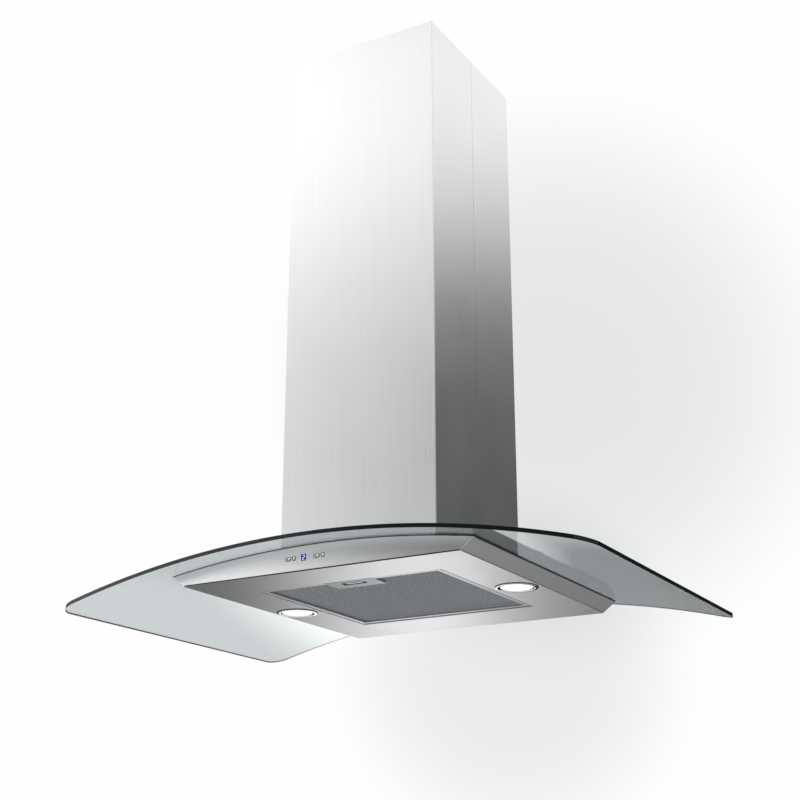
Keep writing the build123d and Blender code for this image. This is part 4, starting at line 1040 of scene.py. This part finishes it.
class HOOD_OT_shade_strips(Operator):
    """Lays a black strip of painted shade over the panel's edge along the foot of each fascia,
    drawn for the dark shadow line at the joint
    """

    bl_idname = "hood.seals"
    bl_label = "Foot seals"

    def execute(self, context):
        sizes = context.scene.hood_sizes
        panel_low, panel_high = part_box("underside_panel")
        bottom = panel_z + sizes.sheet
        for key, side in (("front", -1), ("rear", 1)):
            low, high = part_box(f"{key}_fascia")
            skin = low.y if side < 0 else high.y
            face_y = skin + side * sizes.seal_proud
            near_y, far_y = sorted((face_y, skin - side * sizes.seal_depth))
            # painted shade: a black rubber strip drawn for the dark shadow line where the fascia
            # meets the panel
            painted_dark_piece = block(
                f"{key}_foot_seal",
                (panel_low.x + SHADE_STRIP_SHORT, near_y, bottom),
                (panel_high.x - SHADE_STRIP_SHORT, far_y, bottom + sizes.seal_height),
            )
            # a lip hangs down in front of the panel's cut edge
            bpy.ops.mesh.select_all(action="SELECT")
            bpy.ops.mesh.bisect(plane_co=(0, skin + side * LIP_PLAY, 0), plane_no=(0, 1, 0))

            def under_lip(face):
                in_front = side * face.calc_center_median().y > side * skin
                return face.normal.z < -FACING and in_front

            select(painted_dark_piece, "faces", under_lip)
            bpy.ops.mesh.extrude_region_move(
                TRANSFORM_OT_translate={"value": (0, 0, -LIP_DROP * sizes.sheet)}
            )

            # the long edges of its face, apart from the one where the lip begins
            def outer_edge(edge):
                place = edge.verts[0].co
                on_face = abs(place.y - face_y) < NEAR
                return runs_along(edge, 0) and on_face and abs(place.z - bottom) > SHADE_STRIP_ROUNDING

            select(painted_dark_piece, "edges", outer_edge)
            bpy.ops.mesh.bevel(offset=SHADE_STRIP_ROUNDING, segments=2, affect="EDGES")
            bpy.ops.object.mode_set(mode="OBJECT")
            check_closed(painted_dark_piece)
            dress(painted_dark_piece, [finish("EPDM rubber")])
            smooth(painted_dark_piece, degrees=40)
            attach(painted_dark_piece, "hood")
        return {"FINISHED"}


# The floor: its height below the ceiling, its radius, the width of its outer ring, and the
# distances between which it fades. These are measured from the middle of the ceiling, and all
# of the floor lies beyond the second one, so the floor is see-through all over.
FLOOR_DROP = 2.45
FLOOR_RADIUS, FLOOR_RING = 3.0, 1.5
FADE_START, FADE_END = 1.1, 2.3

# The surround's light grows between two elevations, in degrees, from its strength below them
# to its strength above them. The dark patches leave at least the last strength.
RISE_START, RISE_END = 19.9, 31.1
LIGHT_BELOW, LIGHT_ABOVE, LEAST_LIGHT = 0.53, 1.55, 0.03

# Soft patches of the surround: azimuth from the rear towards the left, elevation, inner and
# outer angle in degrees, and how much light each adds or, below 0, takes away. They were
# fitted so that the brushed faces take the greys that they have in the photograph.
SOFT_PATCHES = [
    (124.5, 16, 18.5, 24, 1.95),
    (-30, 6, 15, 25, -0.8),
    (27, -13.5, 4, 12, 2.0),
    (47.5, -10, 12, 21, -1.1),
    (157.5, 6, 10, 31, -0.95),
    (13, -13, 10, 16.5, -1.9),
    (18.5, -7, 4.5, 11.5, -1.5),
    (135.5, -3.5, 12.5, 18.5, 1.5),
    (-7, -23, 4.5, 17, -0.2),
    (199.5, 1.5, 6.5, 30, 0.1),
    (176, -2, 7, 22, 0.7),
    (0, 90, 47, 57, -0.9),
]

# The backdrop, and soft patches of grey on it, listed in the same way, where the photograph
# has them: to the right of the chimney and below.
# The grey patches are painted shade on the backdrop, which is otherwise white.
BACKDROP_WHITE, BACKDROP_SHADE_GREY = "#FEFEFE", "#DCDEE0"
PAINTED_SHADE_PATCHES = [
    (23.5, 20, 1, 12, 0.75),
    (25.5, 9, 1, 7.5, 0.6),
]

# The camera: its place from the middle of the panel's lower face, how far it looks up from
# level and to the left of straight back, in degrees, and its lens in millimetres.
CAMERA_RIGHT, CAMERA_FRONT, CAMERA_BELOW = 1.1388, 1.9828, 0.4678
CAMERA_UP, CAMERA_LEFT = 19.42, 29.97
CAMERA_LENS, CAMERA_SENSOR = 65.4, 36.0


class HOOD_OT_stage(Operator):
    """Sets the floor, the soft studio light and the camera of the photograph"""

    bl_idname = "hood.stage"
    bl_label = "Stage"

    def execute(self, context):
        scene = context.scene
        self.floor(tuple(scene.hood_colours.floor))
        self.studio(scene)
        self.camera(scene)
        scene.view_settings.view_transform = "Standard"
        return {"FINISHED"}

    def floor(self, colour):
        """A flat disc with matt paint that fades out, and that is clear from below."""
        clear_selection()
        bpy.ops.mesh.primitive_circle_add(
            vertices=FACETS,
            radius=FLOOR_RADIUS,
            fill_type="NGON",
            location=(0, 0, -FLOOR_DROP),
        )
        floor = start("studio_floor")
        bpy.ops.object.mode_set(mode="EDIT")
        bpy.ops.mesh.inset(thickness=FLOOR_RING)
        bpy.ops.object.mode_set(mode="OBJECT")
        material, tree = new_material("matt_floor_paint")
        place = add_node(tree, "ShaderNodeTexCoord")
        reach = add_node(
            tree,
            "ShaderNodeVectorMath",
            props={"operation": "LENGTH"},
            links={0: place.outputs["Object"]},
        )
        grain = pattern(tree, [40 * MM] * 3)
        paint = tint(tree, grain.outputs[0], shade(colour, 0.985), colour)
        matt = add_node(
            tree,
            "ShaderNodeBsdfPrincipled",
            values={"Roughness": 0.9},
            links={"Base Color": paint.outputs[0]},
        )
        clear = add_node(tree, "ShaderNodeBsdfTransparent")
        fade = add_node(
            tree,
            "ShaderNodeMapRange",
            props={"interpolation_type": "SMOOTHSTEP"},
            values={"From Min": FADE_START, "From Max": FADE_END},
            links={"Value": reach.outputs["Value"]},
        )
        side = add_node(tree, "ShaderNodeNewGeometry")
        hidden = add_node(
            tree,
            "ShaderNodeMath",
            props={"operation": "MAXIMUM"},
            links={0: fade.outputs[0], 1: side.outputs["Backfacing"]},
        )
        mixed = add_node(
            tree,
            "ShaderNodeMixShader",
            links={"Fac": hidden.outputs[0], 1: matt.outputs[0], 2: clear.outputs[0]},
        )
        close_material(tree, mixed)
        dress(floor, [material])

    def studio(self, scene):
        """A surround that lights the hood, with a pale backdrop in its place where it is seen.

        The light is brightest from about 25 to 38 degrees up, and to the front left. A look at
        the surround, straight or through the glass, shows the backdrop with its patches of painted
        shade, and metal reflects the surround itself.
        """
        world = bpy.data.worlds.new("studio")
        scene.world = world
        world.use_nodes = True
        tree = world.node_tree
        tree.nodes.clear()
        direction = add_node(tree, "ShaderNodeTexCoord").outputs["Generated"]
        height = add_node(tree, "ShaderNodeSeparateXYZ", links={"Vector": direction}).outputs["Z"]
        total = add_node(
            tree,
            "ShaderNodeMapRange",
            props={"interpolation_type": "SMOOTHSTEP"},
            values={
                "From Min": math.sin(math.radians(RISE_START)),
                "From Max": math.sin(math.radians(RISE_END)),
                "To Min": LIGHT_BELOW,
                "To Max": LIGHT_ABOVE,
            },
            links={"Value": height},
        ).outputs[0]
        total = self.spots(tree, direction, total, SOFT_PATCHES)
        lit = add_node(
            tree,
            "ShaderNodeMath",
            props={"operation": "MAXIMUM"},
            values={1: LEAST_LIGHT},
            links={0: total},
        )
        surround = add_node(
            tree,
            "ShaderNodeBackground",
            values={"Color": (1.0, 1.0, 1.0, 1.0)},
            links={"Strength": lit.outputs[0]},
        )
        # painted shade: soft grey patches darken the white backdrop where it is seen
        nothing = add_node(tree, "ShaderNodeValue")
        nothing.outputs[0].default_value = 0.0
        painted_backdrop_shade = self.spots(tree, direction, nothing.outputs[0], PAINTED_SHADE_PATCHES)
        backdrop_with_shade = tint(tree, painted_backdrop_shade, linear(BACKDROP_WHITE), linear(BACKDROP_SHADE_GREY), 0.0, 1.0)
        backdrop = add_node(
            tree,
            "ShaderNodeBackground",
            values={"Strength": 1.0},
            links={"Color": backdrop_with_shade.outputs[0]},
        )
        rays = add_node(tree, "ShaderNodeLightPath")
        seen = add_node(
            tree,
            "ShaderNodeMath",
            props={"operation": "MAXIMUM"},
            links={0: rays.outputs["Is Camera Ray"], 1: rays.outputs["Is Transmission Ray"]},
        )
        mixed = add_node(
            tree,
            "ShaderNodeMixShader",
            links={"Fac": seen.outputs[0], 1: surround.outputs[0], 2: backdrop.outputs[0]},
        )
        add_node(tree, "ShaderNodeOutputWorld", links={"Surface": mixed.outputs[0]})

    def spots(self, tree, direction, total, spots):
        """Adds soft round spots to a value that depends on the direction."""
        for azimuth, elevation, inner, outer, strength in spots:
            a, e = math.radians(azimuth), math.radians(elevation)
            towards = (-math.sin(a) * math.cos(e), math.cos(a) * math.cos(e), math.sin(e))
            aim = add_node(
                tree,
                "ShaderNodeVectorMath",
                props={"operation": "DOT_PRODUCT"},
                values={1: towards},
                links={0: direction},
            )
            spot = add_node(
                tree,
                "ShaderNodeMapRange",
                props={"interpolation_type": "SMOOTHSTEP"},
                values={
                    "From Min": math.cos(math.radians(outer)),
                    "From Max": math.cos(math.radians(inner)),
                    "To Min": 0.0,
                    "To Max": strength,
                },
                links={"Value": aim.outputs["Value"]},
            )
            total = add_node(
                tree,
                "ShaderNodeMath",
                props={"operation": "ADD"},
                links={0: total, 1: spot.outputs[0]},
            ).outputs[0]
        return total

    def camera(self, scene):
        """A camera below the canopy, to its front right, looking up."""
        data = bpy.data.cameras.new("camera")
        data.sensor_width = CAMERA_SENSOR
        data.lens = CAMERA_LENS
        camera = bpy.data.objects.new("camera", data)
        scene.collection.objects.link(camera)
        camera.location = (CAMERA_RIGHT, -CAMERA_FRONT, panel_z - CAMERA_BELOW)
        camera.rotation_euler = (math.radians(90 + CAMERA_UP), 0, math.radians(CAMERA_LEFT))
        scene.camera = camera


class HOOD_PT_panel(Panel):
    """The hood's steps, sizes and colours"""

    bl_idname = "HOOD_PT_panel"
    bl_label = "Range Hood"
    bl_space_type = "VIEW_3D"
    bl_region_type = "UI"
    bl_category = "Hood"

    def draw(self, context):
        for step in STEPS:
            self.layout.operator(step)
        for group in (context.scene.hood_sizes, context.scene.hood_colours):
            box = self.layout.box()
            for key in group.__annotations__:
                box.prop(group, key)


CLASSES = [
    HoodSizes,
    HoodColours,
    HOOD_OT_finishes,
    HOOD_OT_glass,
    HOOD_OT_filter_net,
    HOOD_OT_lamps,
    HOOD_OT_controls,
    HOOD_OT_shade_strips,
    HOOD_OT_stage,
    HOOD_PT_panel,
]
STEPS = [item.bl_idname for item in CLASSES if issubclass(item, Operator)]


def register():
    """Registers the classes and their properties."""
    for item in CLASSES:
        bpy.utils.register_class(item)
    bpy.types.Scene.hood_sizes = PointerProperty(type=HoodSizes)
    bpy.types.Scene.hood_colours = PointerProperty(type=HoodColours)


def unregister():
    """Removes the classes and their properties."""
    del bpy.types.Scene.hood_colours
    del bpy.types.Scene.hood_sizes
    for item in reversed(CLASSES):
        bpy.utils.unregister_class(item)


def main():
    """Runs every step."""
    register()
    for step in STEPS:
        family, name = step.split(".")
        getattr(getattr(bpy.ops, family), name)()


if __name__ == "__main__":
    main()
